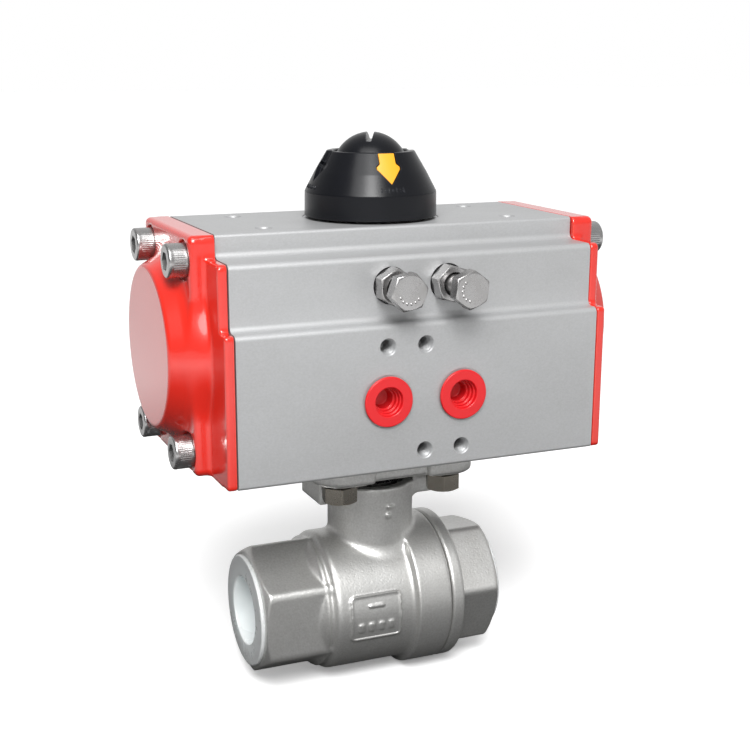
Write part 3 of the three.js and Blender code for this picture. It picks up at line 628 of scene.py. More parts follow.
# how far each edge or root of the casting is rounded
capRounds = {
    "flange": 0.9, "blockCorner": 2.2, "blockEdge": 1.9, "coneFoot": 1.6, "domeEdge": 0.8, "domeRoot": 2.6,
    "flangeRoot": 1.5, "pocket": 0.7, "back": 0.5,
}


def outlineField(y, z):
    # the stepped outline of the body, as three blocks run together and one bevelled corner
    s = bodySizes
    low = softBox(y - (s["padY"] + s["backY"]) / 2, z - s["padTop"] / 2,
                  (s["backY"] - s["padY"]) / 2, s["padTop"] / 2, 1.2)
    mid = softBox(y - (s["midY"] + s["backY"]) / 2, z - s["midTop"] / 2,
                  (s["backY"] - s["midY"]) / 2, s["midTop"] / 2, 1.6)
    top = softBox(y, z - s["height"] / 2, s["topY"], s["height"] / 2, 1.2)
    bevel = (y - s["backY"] + s["bevel"] - z) / math.sqrt(2)
    return softMax(softMin(softMin(low, mid, 1.6), top, 1.6), bevel, 1.0)


def capField(x, y, z):
    # a flange on the body's outline, a square block and a dome with a coned foot, less the screw pockets
    c, r = capSizes, capRounds
    out = x - bodyHigh[0] - c["gap"]
    z = z - base
    radius = np.hypot(y, z - boreRise)
    flange = softMax(outlineField(y, z), out - c["flange"], r["flange"])
    block = softBox(y, z - c["height"] / 2, c["blockHalf"], c["height"] / 2, r["blockCorner"])
    block = softMax(block, out - c["block"], r["blockEdge"])
    lean = 1 / math.hypot(1, c["coneLean"])
    cone = (radius - c["coneFoot"] + c["coneLean"] * (out - c["coneDepth"])) * lean
    dome = softMax(softMax(radius - c["domeFoot"], cone, r["coneFoot"]), out - c["depth"], r["domeEdge"])
    shape = softMin(softMin(block, dome, r["domeRoot"]), flange, r["flangeRoot"])
    screwY, screwZ = bodySizes["capScrew"]
    screw = np.hypot(np.abs(y) - screwY, np.abs(z - boreRise) - screwZ)
    pocket = np.maximum(screw - c["pocket"], c["pocketFloor"] - out)
    shape = softMax(shape, -pocket, r["pocket"])
    shape = np.maximum(shape, slab(z, 0, c["height"]))
    return softMax(shape, -out, r["back"])


def capTools(way):
    # the hollow for the piston, the groove for the seal and the four screw holes
    c = capSizes
    start = bodyHigh[0] + c["gap"]

    def at(radius, depth):
        return [radius, way * (start + depth)]

    (wide, straight), (narrow, floor) = c["hollow"], c["hollowEnd"]
    inner, outer, deep = c["groove"]
    axis = (0, 0, boreAxis)
    hollow = [at(0, -1), at(wide, -1), at(wide, straight), at(narrow, floor), at(0, floor)]
    groove = [at(inner, -1), at(outer, -1), at(outer, deep), at(inner, deep), at(inner, -1)]
    tools = [turnedPiece("hollow", hollow, "x", axis, 128), turnedPiece("groove", groove, "x", axis, 128)]
    for y in (-1, 1):
        for z in (-1, 1):
            place = (0, y * bodySizes["capScrew"][0], boreAxis + z * bodySizes["capScrew"][1])
            radius = c["screwHole"]
            tools.append(turnedPiece("hole", [at(0, -1), at(radius, -1), at(radius, 20), at(0, 20)],
                                     "x", place, 32))
    return tools


def endCaps():
    start = bodyHigh[0]
    low = (start - 0.6, bodySizes["padY"] - 1, base - 1)
    high = (start + 15.4, bodySizes["backY"] + 1, roof + 1)
    for side, way in (("right", 1), ("left", -1)):
        cap = castPiece(f"{side}_end_cap", capField, low, high, capSizes["pitch"], mirror=way < 0)
        cut(cap, *capTools(way))
        settle(cap, "housing", "red_paint", "redPaint", f"end_cap_{side}", crease=50, even=False)


endCaps()
print("end caps cast")


capScrewSizes = {
    "head": 5.0, "headHeight": 6.0, "shank": 2.9, "length": 18.0, "ridges": 54, "ridgeDepth": 0.07,
    "key": 5.0, "keyDepth": 3.2,
}


def capScrews():
    c = capScrewSizes

    def knurl(radius, along, angle):
        # fine grooves all round, faded out towards both ends of the head
        band = np.clip((along - 0.7) / 0.2, 0, 1) * np.clip((c["headHeight"] - 1.1 - along) / 0.2, 0, 1)
        rim = np.clip((radius - c["head"] + 0.2) / 0.1, 0, 1)
        return -c["ridgeDepth"] * np.abs(np.sin(c["ridges"] * angle / 2)) * band * rim

    height = c["headHeight"]
    profile = refined(roundedPath([
        [0, -c["length"]], [c["shank"] - 0.3, -c["length"]], [c["shank"], 0.4 - c["length"]], [c["shank"], 0],
        [c["head"], 0, 0.25], [c["head"], height, 0.7], [2.5, height], [0, height]], closed=False), 0.3)
    for side, way in (("left", -1), ("right", 1)):
        for i in range(1, 5):
            node = f"cap_screw_{side}_{i}"
            low, high = nodeBox(node)
            face = high[0] if way > 0 else low[0]
            centre = (0, (low[1] + high[1]) / 2, (low[2] + high[2]) / 2)
            screw = turnedPiece(f"{side}_cap_screw_{i}", profile, "x", (0, 0, 0), 160, knurl)
            key = hexOutline(c["key"], 0.3 + i * 0.9)
            cut(screw, drawnPiece("key", key, height - c["keyDepth"], height + 1, "x"))
            under = face - way * height
            turn = Matrix.Translation(Vector(np.array([under, *centre[1:]]) * mm))
            if way < 0:
                turn = turn @ Matrix.Rotation(math.pi, 4, "Z")
            screw.data.transform(turn)
            settle(screw, "housing", "bright_steel", "brightSteel", node)


boltSizes = {
    "flats": 10.0, "head": 4.0, "radius": 3.0, "pitch": 1.0, "threadDepth": 0.5, "pipCircle": 3.2,
    "pip": 0.48,
    "stopTurn": {"left": 0.34, "right": 0.12}, "nutTurn": -0.36, "firstPip": {"left": 2.2, "right": 3.4},
    "pipGap": 0.42, "pips": 6, "plain": {"left": 5.0, "right": 8.5}, "flangeHead": 5.2, "flangeLower": 1.2,
    "flangeTurn": (-1.77, -1.92),
}


def hexBolt(name, node, body, slotName, finish, axis, headHeight, shank, turn, pips, lower=0.0):
    # hexagon head with a turned face, small raised pips on it, and a threaded shank
    b = boltSizes
    low, high = nodeBox(node)
    k = {"x": 0, "y": 1, "z": 2}[axis]
    centre = (low + high) / 2
    centre[k] = 0
    start, end = low[k] - lower, high[k]
    under = start + headHeight
    head = hexPiece(name, b["flats"], start, under, axis, centre, turn, (True, False))
    radius, inside = b["radius"], under - 0.5
    profile = refined(roundedPath([
        [0, inside], [radius, inside], [radius, end - 0.6], [radius - 0.6, end], [0, end]],
        closed=False), 0.16)
    wave = threadWave(b["pitch"], b["threadDepth"], under + shank, end - 0.4)
    parts = [turnedPiece("shank", profile, axis, centre, 64, wave)]
    for a in pips:
        at = lay(np.array([[b["pipCircle"] * math.cos(a), b["pipCircle"] * math.sin(a), 0.0]]), axis)[0]
        parts.append(turnedPiece("pip", [
            [0, start - 0.22], [0.25, start - 0.17], [b["pip"], start + 0.05], [b["pip"], start + 0.5],
            [0, start + 0.5]], axis, centre + at, 20))
    joined(head, *parts)
    return settle(head, body, slotName, finish, node)


def stopBolts():
    b = boltSizes
    for side in ("left", "right"):
        turn = b["stopTurn"][side]
        pips = [b["firstPip"][side] + b["pipGap"] * i for i in range(b["pips"])]
        node = f"stop_bolt_{side}"
        hexBolt(f"{side}_stop_bolt", node, node, "bright_steel", "brightSteel", "y", b["head"],
                b["plain"][side], turn, pips)
        low, high = nodeBox(f"lock_nut_{side}")
        centre = (low + high) / 2
        centre[1] = 0
        low, high = low[1], high[1]
        nut = hexPiece(f"{side}_lock_nut", b["flats"], low, high, "y", centre, turn + b["nutTurn"],
                       (True, True))
        way = np.array([[0, low - 1], [4.2, low - 1], [3.2, low + 0.7], [3.2, high - 0.5],
                        [3.8, high + 1], [0, high + 1]], float)
        wave = threadWave(b["pitch"], -0.3, low + 0.2, high - 0.2)
        cut(nut, turnedPiece("way", refined(way, 0.16), "y", centre, 64, wave))
        settle(nut, "housing", "bright_steel", "brightSteel", f"lock_nut_{side}")


def mountingBolts():
    b = boltSizes
    for i in range(1, 5):
        node = f"mounting_bolt_{i}"
        turn = b["flangeTurn"][0 if nodeBox(node)[0][0] < 0 else 1]
        hexBolt(f"flange_bolt_{i}", node, "housing", "dark_steel", "darkSteel", "z", b["flangeHead"],
                2.0, turn, [], b["flangeLower"])


capScrews()
stopBolts()
mountingBolts()
print("fasteners made")


portPlugSizes = {
    "flange": 7.5, "rim": 0.95, "body": 6.0, "mouth": 4.3,
    "steps": ((1.5, 3.9), (2.9, 3.45), (4.4, 2.9)), "floor": 7.8, "floorRadius": 2.7,
}


def portPlugs():
    p = portPlugSizes
    for side in ("left", "right"):
        low, high = nodeBox(f"port_plug_{side}")
        centre = (low + high) / 2
        centre[1] = 0
        face, back = low[1], high[1]
        seat, floor = face + p["rim"], face + p["floor"]
        corners = [
            [0, back], [p["body"] - 0.4, back, 0.4], [p["body"], seat + 0.4], [p["body"], seat],
            [p["flange"], seat, 0.25], [p["flange"], face, 0.35], [p["mouth"], face, 0.35]]
        radius = p["mouth"]
        for depth, narrower in p["steps"]:  # the hole narrows inwards step by step
            corners += [[radius, face + depth, 0.2], [narrower, face + depth, 0.2]]
            radius = narrower
        corners += [[p["floorRadius"], floor, 0.4], [0, floor]]
        plug = turnedPiece(f"{side}_port_plug", roundedPath(corners, closed=False), "y", centre, 96)
        settle(plug, f"port_plug_{side}", "red_plastic", "redPlastic", f"port_plug_{side}")


pipePlugSizes = {
    "flange": 17.9, "rim": 1.25, "body": 14.85, "wall": 1.3, "mouth": 11.0, "inner": 10.9,
    "bar": (12.4, 1.6, 2.9), "barDepth": (0.6, 2.6),
}


def pipePlugs():
    p = pipePlugSizes
    for side, way in (("left", -1), ("right", 1)):
        low, high = nodeBox(f"pipe_plug_{side}")
        face, back = (low[0], high[0]) if way < 0 else (high[0], low[0])

        def at(radius, depth, bend=0.0):
            return [radius, face - way * depth, bend]

        length = abs(back - face)
        profile = roundedPath([
            at(0, length), at(p["body"] - 0.45, length, 0.6), at(p["body"], 1.3),
            at(p["flange"], p["rim"], 0.3), at(p["flange"], 0, 0.5), at(p["mouth"], 0, 0.5),
            at(p["inner"], length - p["wall"], 0.8),
            at(0, length - p["wall"])], closed=False)
        plug = turnedPiece(f"{side}_pipe_plug", profile, "x", (0, 0, 0), 128)
        span = sorted([face - way * (length - depth) for depth in p["barDepth"]])
        half, foot, top = p["bar"]
        bar = roundedPath([[-half, foot, 0.3], [half, foot, 0.3], [half, top, 0.3], [-half, top, 0.3]])
        joined(plug, drawnPiece("bar", bar, *span, "x"))
        settle(plug, f"pipe_plug_{side}", "clear_plastic", "clearPlastic", f"pipe_plug_{side}")


portPlugs()
pipePlugs()
print("plugs made")


indicatorSizes = {
    "foot": 70.6, "radius": 20.5, "coneFoot": 78.1, "coneTop": 90.4, "rim": 13.5, "inner": 11.4,
    "floor": 86.0, "footHole": 17.8, "roof": 76.0, "screwWay": 3.1, "socket": 8.8, "socketTop": 84.3,
    "turn": -0.047, "arrowTip": 4.0, "barbRise": 8.8, "barb": 3.75, "neckRise": 10.6, "neck": 2.6,
    "arrowTop": 14.0, "pocketDepth": 1.3, "inset": 0.16, "ribs": 7, "ribGap": 0.06,
    "ribLengths": (2.6, 1.5), "knob": 10.8, "knobShank": 2.4, "knobFoot": 89.0, "knobRise": 7.0,
    "slotTurn": 1.09, "slot": (1.6, 0.75), "slotDepth": 2.6,
}
coneLean = math.atan2(indicatorSizes["radius"] - indicatorSizes["rim"],
                      indicatorSizes["coneTop"] - indicatorSizes["coneFoot"])


def onCone(across, up, out, direction):
    # across the cone, up its slope and out from it, as a place in space
    s = indicatorSizes
    level = s["radius"] - up * math.sin(coneLean)
    turn = direction + across / level
    radius = level + out * math.cos(coneLean)
    height = base + s["coneFoot"] + up * math.cos(coneLean) + out * math.sin(coneLean)
    return np.stack([radius * np.cos(turn), radius * np.sin(turn), height + 0 * turn], axis=-1)


def arrowSolid(name, direction, grow, low, high, top):
    # a band across the arrow at each height, as wide as the arrow is there, bent round the cone
    s = indicatorSizes
    knots = [[s["arrowTip"] - grow * 1.3, 0.02], [s["barbRise"], s["barb"] + grow],
             [s["barbRise"] + 0.8, s["barb"] + grow], [s["neckRise"] + grow * 0.5, s["neck"] + grow],
             [top, s["neck"] + grow]]
    path = refined(np.array(knots, float), 0.3)
    up, wide = path[:, 0], path[:, 1]
    soft = 0.12
    section = roundedPath([[-1, low], [1, low], [1, high - soft], [1 - soft / 3, high],
                           [soft / 3 - 1, high], [-1, high - soft]])
    section = refined(np.r_[section, section[:1]], 0.25)[:-1]
    across = wide[:, None] * section[None, :, 0]
    out = np.repeat(section[None, :, 1], len(up), axis=0)
    points = onCone(across, np.repeat(up[:, None], len(section), axis=1), out, direction)
    rows, columns = len(up), len(section)
    r, c = np.arange(rows - 1)[:, None], np.arange(columns)[None, :]
    d = (c + 1) % columns
    faces = np.stack([r * columns + c, r * columns + d, (r + 1) * columns + d, (r + 1) * columns + c], axis=2)
    ends = [np.arange(columns)[::-1].tolist(), (np.arange(columns) + (rows - 1) * columns).tolist()]
    return meshObject(name, points.reshape(-1, 3), faces.reshape(-1, 4).tolist() + ends)


def indicator():
    s = indicatorSizes
    foot, top = base + s["foot"], base + s["coneTop"]
    floor, under = base + s["floor"], base + s["roof"]
    shell = turnedPiece("indicator_dome", roundedPath([
        [s["footHole"], foot], [s["radius"], foot, 0.4], [s["radius"] - 0.1, base + s["coneFoot"], 1.3],
        [17.25, base + 84.1, 9.0], [s["rim"], top, 0.5], [s["inner"], top, 0.5], [s["inner"], floor],
        [s["screwWay"], floor], [s["screwWay"], under], [s["footHole"], under], [s["footHole"], foot]],
        closed=False), steps=240)
    quarters = [s["turn"] + i * math.pi / 2 for i in range(4)]
    pockets = [arrowSolid("pocket", quarter, 0.25, -s["pocketDepth"], 2.0, 15.5) for quarter in quarters]
    socketTop = base + s["socketTop"]
    socket = turnedPiece("socket", [
        [0, under - 1], [s["socket"], under - 1], [s["socket"], socketTop], [0, socketTop]])
    ribs = []
    for quarter in quarters:
        for i in range(s["ribs"]):
            turn = quarter + (i - (s["ribs"] - 1) / 2) * s["ribGap"]
            at = onCone(np.array(0.0), np.array(2.0), np.array(-0.2), turn)
            rib = turnedPiece("rib", [[0, -0.4], [0.3, -0.4], [0.3, 0.25], [0.18, 0.4], [0, 0.45]], steps=12)
            out = Vector((math.cos(turn), math.sin(turn), 0)) * math.cos(coneLean)
            out.z = math.sin(coneLean)
            uphill = Vector((math.cos(turn), math.sin(turn), 0)) * -math.sin(coneLean)
            uphill.z = math.cos(coneLean)
            length = s["ribLengths"][i % 2]
            stand = Matrix((uphill.cross(out), uphill * length, out)).transposed().to_4x4()
            rib.data.transform(Matrix.Translation(Vector(at * mm)) @ stand)
            ribs.append(rib)
    cut(shell, socket, *pockets)
    joined(shell, *ribs)
    settle(shell, "spindle", "black_plastic", "blackPlastic", "position_indicator")
    for name, node, direction in (("front_arrow", "arrow_front", -0.5), ("back_arrow", "arrow_back", 0.5)):
        arrow = arrowSolid(name, s["turn"] + direction * math.pi, 0.0, -1.1, -s["inset"], s["arrowTop"])
        settle(arrow, "spindle", "yellow_plastic", "yellowPlastic", node, crease=40)


def indicatorKnob():
    # a slice off a ball: its height over the centre is the root of the ball's radius squared less the
    # distance from the axis squared; a slot is cut across it
    s = indicatorSizes
    ball = (s["knob"] ** 2 + s["knobRise"] ** 2) / (2 * s["knobRise"])
    turns = np.linspace(0, math.pi / 2, 40)
    radius = s["knob"] * np.cos(turns)
    height = base + s["knobFoot"] + s["knobRise"] - ball + np.sqrt(ball ** 2 - radius ** 2)
    under = base + s["floor"] + 0.3
    foot = np.array([[0, base + 74], [s["knobShank"], base + 74], [s["knobShank"], under],
                     [s["knob"] - 0.3, under], [s["knob"], under + 0.3]])
    profile = np.r_[foot, np.stack([radius, height], axis=1)]
    profile[-1, 0] = 0
    knob = turnedPiece("indicator_knob", profile, steps=160)
    crown = s["knobFoot"] + s["knobRise"] + base
    (mouth, floor), deep = s["slot"], crown - s["slotDepth"]
    slot = drawnPiece("slot", roundedPath([
        [-mouth, crown + 2], [-floor, deep, 0.3], [floor, deep, 0.3], [mouth, crown + 2]]), -15, 15, "x")
    slot.data.transform(Matrix.Rotation(s["slotTurn"], 4, "Z"))
    cut(knob, slot)
    settle(knob, "spindle", "black_plastic", "blackPlastic", "indicator_screw")


indicator()
indicatorKnob()
print("indicator made")


valveSizes = {
    "leftEnd": -42.6, "rightEnd": 38.2, "split": 18.7, "gap": 0.3, "hexHalf": 19.0, "hexCorner": 1.5,
    "hexRoot": -19.0, "hexStart": 23.3, "capTurn": 3.0, "chamferReach": 19.2, "chamferLean": 1.7,
    "flare": (-27.0, -22.1), "flareRadius": 21.7, "flareLean": 0.85, "groove": 20.9, "barrel": 22.7,
    "barrelStart": -20.7, "collar": 24.9, "collarStart": 6.9, "spigot": 19.3, "spigotStart": 9.3,
    "tablet": (-7.1, 0.5, 8.7, 7.5), "tabletRise": 0.3, "bar": (2.6, 0.55), "block": (0.95, 1.5),
    "blockPlaces": (-12.3, -8.9, -5.5, -2.1), "neck": 13.9, "neckRim": 39.8, "plateLow": 45.9,
    "windowTop": 45.6, "window": 11.5, "edge": 26.8, "waist": 24.5, "waistHalf": 9.0, "lobe": 9.5,
    "boltSeat": 6.0, "seatLow": 44.7, "boltPocket": 7.2, "wingHalf": 8.3, "wingReach": 20.8,
    "wingFoot": 34.9, "lumps": 0.02, "pitch": 0.5, "thread": 2.3, "threadDepth": 0.9, "way": 15.2,
    "bore": 12.5, "seat": 17.5, "chamber": 19.7, "boltHole": 3.3,
}
# how far each edge or root of the casting is rounded
valveRounds = {
    "hexEdge": 0.5, "hexRoot": 0.5, "core": 0.4, "barrel": 2.4, "collarEdge": 0.9, "collarRoot": 1.8,
    "tablet": 0.4, "tabletRoot": 0.3, "rib": 0.35, "neckEdge": 0.6, "waist": 1.5, "plate": 1.2,
    "seat": 0.5, "wing": 0.8, "wingRoot": 1.2, "pocket": 0.8, "window": 0.9, "head": 2.4, "saddle": 2.3,
    "capCollar": 1.0, "capRoot": 0.8, "spigot": 0.4,
}


def chamfered(x, across, end, way):
    # a cone that takes the corners off the end of a hexagon
    depth = (x - end) * way
    return (across - valveSizes["chamferReach"] + depth * valveSizes["chamferLean"]) * 0.51


def marksField(x, z):
    # plain raised marks on the tablet: a bar above, and a row of short blocks
    v = valveSizes
    bar = softBox(x - v["tablet"][0], z - 4.4, *v["bar"], 0.5)
    blocks = np.minimum.reduce([softBox(x - at, z + 2.6, *v["block"], 0.6) for at in v["blockPlaces"]])
    return np.minimum(bar, blocks)


def lumpsField(x, y, z):
    # a cast surface is never quite even: a sine along the pipe times one in height, each bent by another
    wave = np.sin(0.45 * x + 1.4 * np.sin(0.3 * y)) * np.sin(0.4 * z + 0.9 * np.sin(0.35 * x))
    return valveSizes["lumps"] * wave


def headField(x, y, z):
    # the mounting plate: four lobes with bolt seats, and a lug from the neck out to each side
    v, r = valveSizes, valveRounds
    bolts = np.hypot(np.abs(x) - boltOffset, np.abs(y) - boltOffset)
    plate = softBox(x, y, v["edge"], v["edge"], v["lobe"])
    for u, w in ((x, y), (y, x)):
        waist = np.maximum(np.abs(u) - v["waistHalf"], v["waist"] - np.abs(w))
        plate = softMax(plate, -waist, r["waist"])
    lobes = softMax(plate, slab(z, v["plateLow"], base - 0.3), r["plate"])
    seats = softMax(bolts - v["boltSeat"], slab(z, v["seatLow"], 49), r["seat"])
    wing = softBox(x, y, v["wingReach"], v["wingHalf"], r["wing"])
    wing = softMax(wing, slab(z, v["wingFoot"], 50), r["wing"])
    shape = softMin(softMin(lobes, wing, r["wingRoot"]), seats, r["seat"])
    pocket = np.maximum(bolts - v["boltPocket"], slab(z, 27, v["seatLow"]))
    window = np.maximum(np.abs(x) - v["window"], z - v["windowTop"])
    return softMax(softMax(shape, -pocket, r["pocket"]), -window, r["wingRoot"])


def pipeField(x, y, z):
    # the hexagon on the left, a flare and a groove behind it, the barrel and its collar
    v, r = valveSizes, valveRounds
    across = np.hypot(y, z)
    hexagon = hexField(y, z, v["hexHalf"], math.pi / 2, v["hexCorner"])
    hexEnd = softMax(hexagon, slab(x, v["leftEnd"], v["hexRoot"]), r["hexEdge"])
    hexEnd = softMax(hexEnd, chamfered(x, across, v["leftEnd"], -1), r["hexEdge"])
    flare = (across - v["flareRadius"] - (x + 22.0) * v["flareLean"]) * 0.76
    flare = softMax(flare, slab(x, *v["flare"]), r["hexEdge"])
    core = np.maximum(across - v["groove"], slab(x, -23, -18))
    barrel = softMax(across - v["barrel"], slab(x, v["barrelStart"], 10), r["barrel"])
    collar = softMax(across - v["collar"], slab(x, v["collarStart"], v["split"]), r["collarEdge"])
    shape = softMin(softMin(hexEnd, flare, r["hexRoot"]), core, r["core"])
    return softMin(softMin(shape, barrel, r["hexRoot"]), collar, r["collarRoot"])


def valveField(x, y, z):
    # the pipe part with its tablet, and the neck with the mounting plate, run together by a saddle
    v, r = valveSizes, valveRounds
    outside = np.hypot(y, z) - v["barrel"]
    inFront = np.where(y < 0, 0, 9)
    middleX, middleZ, half, tall = v["tablet"]
    tablet = softBox(x - middleX, z - middleZ, half, tall, 1.6)
    rise = v["tabletRise"]
    raised = softMax(outside - rise * 0.6, tablet + inFront, r["tablet"])
    shape = softMin(pipeField(x, y, z), raised, r["tabletRoot"])
    rib = np.maximum(np.abs(tablet + 0.35) - 0.3, outside - rise * 1.8)
    marks = np.maximum(marksField(x, z), outside - rise * 2.0)
    shape = softMin(shape, np.minimum(rib, marks) + inFront, r["rib"])
    column = np.hypot(x, y) - v["neck"]
    neck = softMax(column, slab(z, 6, 52), r["neckEdge"])
    pips = np.minimum(softBox(x - 1.5, z - 33.5, 1.3, 0.5, 0.4), np.hypot(x - 0.6, z - 30.6) - 0.9)
    neck = softMin(neck, np.maximum(pips, column - 0.45) + inFront, r["tablet"])
    window = np.maximum(np.abs(x) - v["window"], slab(z, v["neckRim"], v["windowTop"]))
    head = softMax(softMin(headField(x, y, z), neck, r["head"]), -window, r["window"])
    return softMin(shape, head, r["saddle"]) + lumpsField(x, y, z)


def capHalfField(x, y, z):
    # the screwed-in cap: a collar, its hexagon, and the round spigot inside the body
    v, r = valveSizes, valveRounds
    across = np.hypot(y, z)
    start = v["split"] + v["gap"]
    hexagon = hexField(y, z, v["hexHalf"], v["capTurn"], v["hexCorner"])
    hexEnd = softMax(hexagon, slab(x, 21, v["rightEnd"]), r["hexEdge"])
    hexEnd = softMax(hexEnd, chamfered(x, across, v["rightEnd"], 1), r["hexEdge"])
    collar = softMax(across - v["collar"], slab(x, start, v["hexStart"]), r["capCollar"])
    shape = softMin(hexEnd, collar, r["capRoot"])
    spigot = np.maximum(across - v["spigot"], slab(x, v["spigotStart"], start + 2))
    return softMin(shape, spigot, r["spigot"]) + lumpsField(x, y, z)


def threadedWay(profile, low, high):
    v = valveSizes
    return turnedPiece("way", refined(np.array(profile, float), 0.4), "x", (0, 0, 0), 72,
                       threadWave(v["thread"], -v["threadDepth"], low, high))


def ballValve():
    v = valveSizes
    low, high = (v["leftEnd"] - 1, -29.7, -26), (29.7, 29.7, base + 0.9)
    body = castPiece("valve_casting", valveField, low, high, v["pitch"])
    # the stem's way from the top down, and the flow way with its seat pocket and ball chamber
    stemWay = turnedPiece("stemWay", [
        [0, 60], [14, 60], [14, 46.6], [11.3, 46.6], [11.3, 36], [9.3, 36], [9.3, 27], [6.3, 27], [6.3, 24.6],
        [8.6, 24.6], [8.6, 14], [0, 14]])
    way, bore, seat, chamber, hole = (v[key] for key in ("way", "bore", "seat", "chamber", "boltHole"))
    flowWay = threadedWay([
        [0, -50], [way, -50], [way, -24.6], [bore, -24.6], [bore, -18], [seat, -18], [seat, -9.3],
        [chamber, -9.3], [chamber, 16.8], [22.3, 16.8], [22.3, 25], [0, 25]], -41.6, -25.5)
    bolts = [turnedPiece("boltWay", [[0, 40], [hole, 40], [hole, 60], [0, 60]], "z",
                         (x * boltOffset, y * boltOffset, 0), 48) for x in (-1, 1) for y in (-1, 1)]
    cut(body, stemWay, flowWay, *bolts)
    cap = castPiece("screwed_cap", capHalfField, (8.6, -26, -26), (v["rightEnd"] + 1, 26, 26), v["pitch"])
    cut(cap, threadedWay([
        [0, 5], [seat, 5], [seat, 18], [bore, 18], [bore, 22.4], [way, 22.4], [way, 45], [0, 45]],
        23.4, 37.2))
    for piece, node in ((body, "valve_body"), (cap, "body_cap")):
        settle(piece, "housing", "cast_stainless", "castStainless", node, crease=50, even=False)
        print(piece.name, "faces:", len(piece.data.polygons))


ballValve()
print("ball valve cast")


# the finish of each CAD node that is shown as it is
slotFinish = {
    "anodised_aluminium": "anodised", "cast_aluminium": "castAluminium", "red_paint": "redPaint",
    "bright_steel": "brightSteel", "dark_steel": "darkSteel", "plated_steel": "platedSteel",
    "cast_stainless": "castStainless", "polished_stainless": "polishedStainless",
    "black_rubber": "blackRubber", "white_acetal": "whiteAcetal", "ptfe": "ptfe",
    "black_plastic": "blackPlastic", "yellow_plastic": "yellowPlastic", "red_plastic": "redPlastic",
    "clear_plastic": "clearPlastic",
}
for subpart in frame["record"]["subparts"]:
    node = frame["nodes"][subpart["node"]]
    for place in node.material_slots:
        place.material = materials[slotFinish[subpart["material_slot"]]]
print("carried-over nodes:", len(frame["nodes"]) - len(shown))


studio = {
    "floorSize": 14.0, "floorColour": (255, 255, 255), "floorShadeRamp": (0.2, 0.45, 0.06, 0.95),
    "floorGlow": 0.2, "sky": 0.62, "backdrop": (255, 255, 255), "keyStrength": 1.9, "keyWidth": 20,
    "keyEnergy": 4.6, "topEnergy": 1.0,
    "cameraPlace": (-0.1634, -0.3835, 0.1735), "yaw": 23.30, "pitch": 14.39, "roll": 0.18,
    "lens": 64.1, "sensor": 36.0, "rise": 0.0292,
}


def seenByCamera(tree, seen, lit):
    # one value for what the camera sees, and another for the light that reaches the object
    path = tree.nodes.new("ShaderNodeLightPath")
    mix = tree.nodes.new("ShaderNodeMix")
    mix.data_type = "RGBA"
    tree.links.new(path.outputs["Is Camera Ray"], mix.inputs[0])
    mix.inputs[7].default_value = seen
    if isinstance(lit, tuple):
        mix.inputs[6].default_value = lit
    else:
        tree.links.new(lit, mix.inputs[6])
    return mix.outputs[2]


def floor():
    size = studio["floorSize"] / 2
    low = cadBox[0].z - 0.0002
    mesh = bpy.data.meshes.new("studio_floor")
    mesh.from_pydata([(-size, -size, low), (size, -size, low), (size, size, low), (-size, size, low)], [],
                     [(0, 1, 2, 3)])
    ground = bpy.data.objects.new("studio_floor", mesh)
    bpy.context.scene.collection.objects.link(ground)
    material = bpy.data.materials.new("paleFloor")
    material.use_nodes = True
    tree = material.node_tree
    shader = tree.nodes["Principled BSDF"]
    shader.inputs["Roughness"].default_value = 0.9
    shader.inputs["Specular IOR Level"].default_value = 0.0
    place = tree.nodes.new("ShaderNodeTexCoord")
    reach = tree.nodes.new("ShaderNodeVectorMath")
    reach.operation = "LENGTH"
    tree.links.new(place.outputs["Object"], reach.inputs[0])
    # painted shade: for the light that reaches the object the floor is nearly black within 0.2 m of the
    # middle and pale from 0.45 m out, so the undersides reflect a dark floor, while the camera sees the floor
    # evenly pale
    level = ramp(tree, reach.outputs["Value"], *studio["floorShadeRamp"])
    grey = tree.nodes.new("ShaderNodeCombineColor")
    for k in range(3):
        tree.links.new(level, grey.inputs[k])
    colour = seenByCamera(tree, tone(*studio["floorColour"]), grey.outputs[0])
    tree.links.new(colour, shader.inputs["Base Color"])
    glow = seenByCamera(tree, (1, 1, 1, 1), (0, 0, 0, 1))
    tree.links.new(glow, shader.inputs["Emission Color"])
    shader.inputs["Emission Strength"].default_value = studio["floorGlow"]
    face = tree.nodes.new("ShaderNodeNewGeometry")  # not seen from below
    tree.links.new(arithmetic(tree, "SUBTRACT", 1.0, face.outputs["Backfacing"]), shader.inputs["Alpha"])
    mesh.materials.append(material)


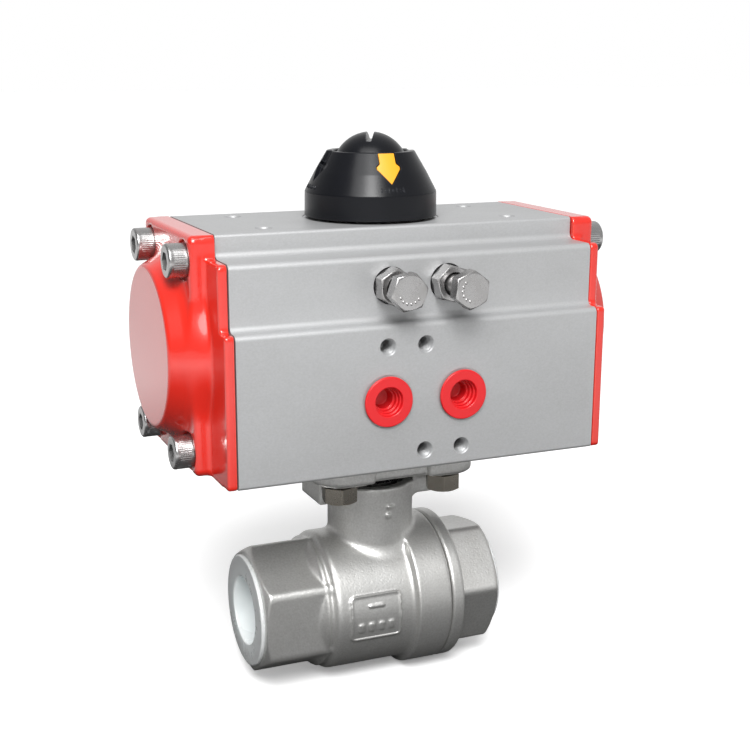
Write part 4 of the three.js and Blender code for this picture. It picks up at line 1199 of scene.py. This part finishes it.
def sky():
    world = bpy.data.worlds.new("softStudio")
    bpy.context.scene.world = world
    world.use_nodes = True
    tree = world.node_tree
    back = tree.nodes["Background"]
    place = tree.nodes.new("ShaderNodeTexCoord")
    parts = tree.nodes.new("ShaderNodeSeparateXYZ")
    tree.links.new(place.outputs["Generated"], parts.inputs[0])
    leftward = ramp(tree, parts.outputs["X"], -0.9, 0.3, 0.28, 1.0)
    behind = ramp(tree, parts.outputs["Y"], -0.2, 0.9, 0.75, 1.35)
    level = arithmetic(tree, "MULTIPLY", leftward, behind)
    level = arithmetic(tree, "MULTIPLY", level, studio["sky"])
    grey = tree.nodes.new("ShaderNodeCombineColor")
    for k in range(3):
        tree.links.new(level, grey.inputs[k])
    colour = seenByCamera(tree, tone(*studio["backdrop"]), grey.outputs[0])
    tree.links.new(colour, back.inputs["Color"])


def placed(name, data):
    thing = bpy.data.objects.new(name, data)
    bpy.context.scene.collection.objects.link(thing)
    return thing


def broadLight(name, place, strength, width):
    # far off and wide, so the floor is lit evenly all over
    light = bpy.data.lights.new(name, "SUN")
    light.energy, light.angle = strength, math.radians(width)
    lamp = placed(name, light)
    lamp.rotation_euler = (-Vector(place)).to_track_quat("-Z", "Y").to_euler()


def softbox(name, place, size, energy, aim=(0, 0, 0.06)):
    light = bpy.data.lights.new(name, "AREA")
    light.shape = "RECTANGLE"
    light.size, light.size_y = size
    light.energy = energy
    lamp = placed(name, light)
    lamp.location = place
    lamp.rotation_euler = (Vector(aim) - Vector(place)).to_track_quat("-Z", "Y").to_euler()


def camera():
    s = studio
    yaw, pitch, roll = (math.radians(s[key]) for key in ("yaw", "pitch", "roll"))
    level = math.cos(pitch)
    forward = Vector((math.sin(yaw) * level, math.cos(yaw) * level, -math.sin(pitch)))
    right = Vector((math.cos(yaw), -math.sin(yaw), 0))
    up = right.cross(forward)
    right, up = (right * math.cos(roll) + up * math.sin(roll),
                 up * math.cos(roll) - right * math.sin(roll))
    lens = bpy.data.cameras.new("camera")
    lens.lens, lens.sensor_width, lens.shift_y = s["lens"], s["sensor"], s["rise"]
    lens.clip_start = 0.01
    eye = placed("camera", lens)
    facing = Matrix((right, up, -forward)).transposed().to_4x4()
    eye.matrix_world = Matrix.Translation(Vector(s["cameraPlace"])) @ facing
    bpy.context.scene.camera = eye


floor()
sky()
broadLight("keyLight", (-0.3, -0.8, 0.8), studio["keyStrength"], studio["keyWidth"])
softbox("keyBox", (-0.3, -0.65, 0.55), (0.6, 0.45), studio["keyEnergy"])
softbox("topBox", (-0.12, -0.2, 0.42), (0.3, 0.3), studio["topEnergy"])
camera()
bpy.context.scene.view_settings.view_transform = "Standard"
print("studio set")
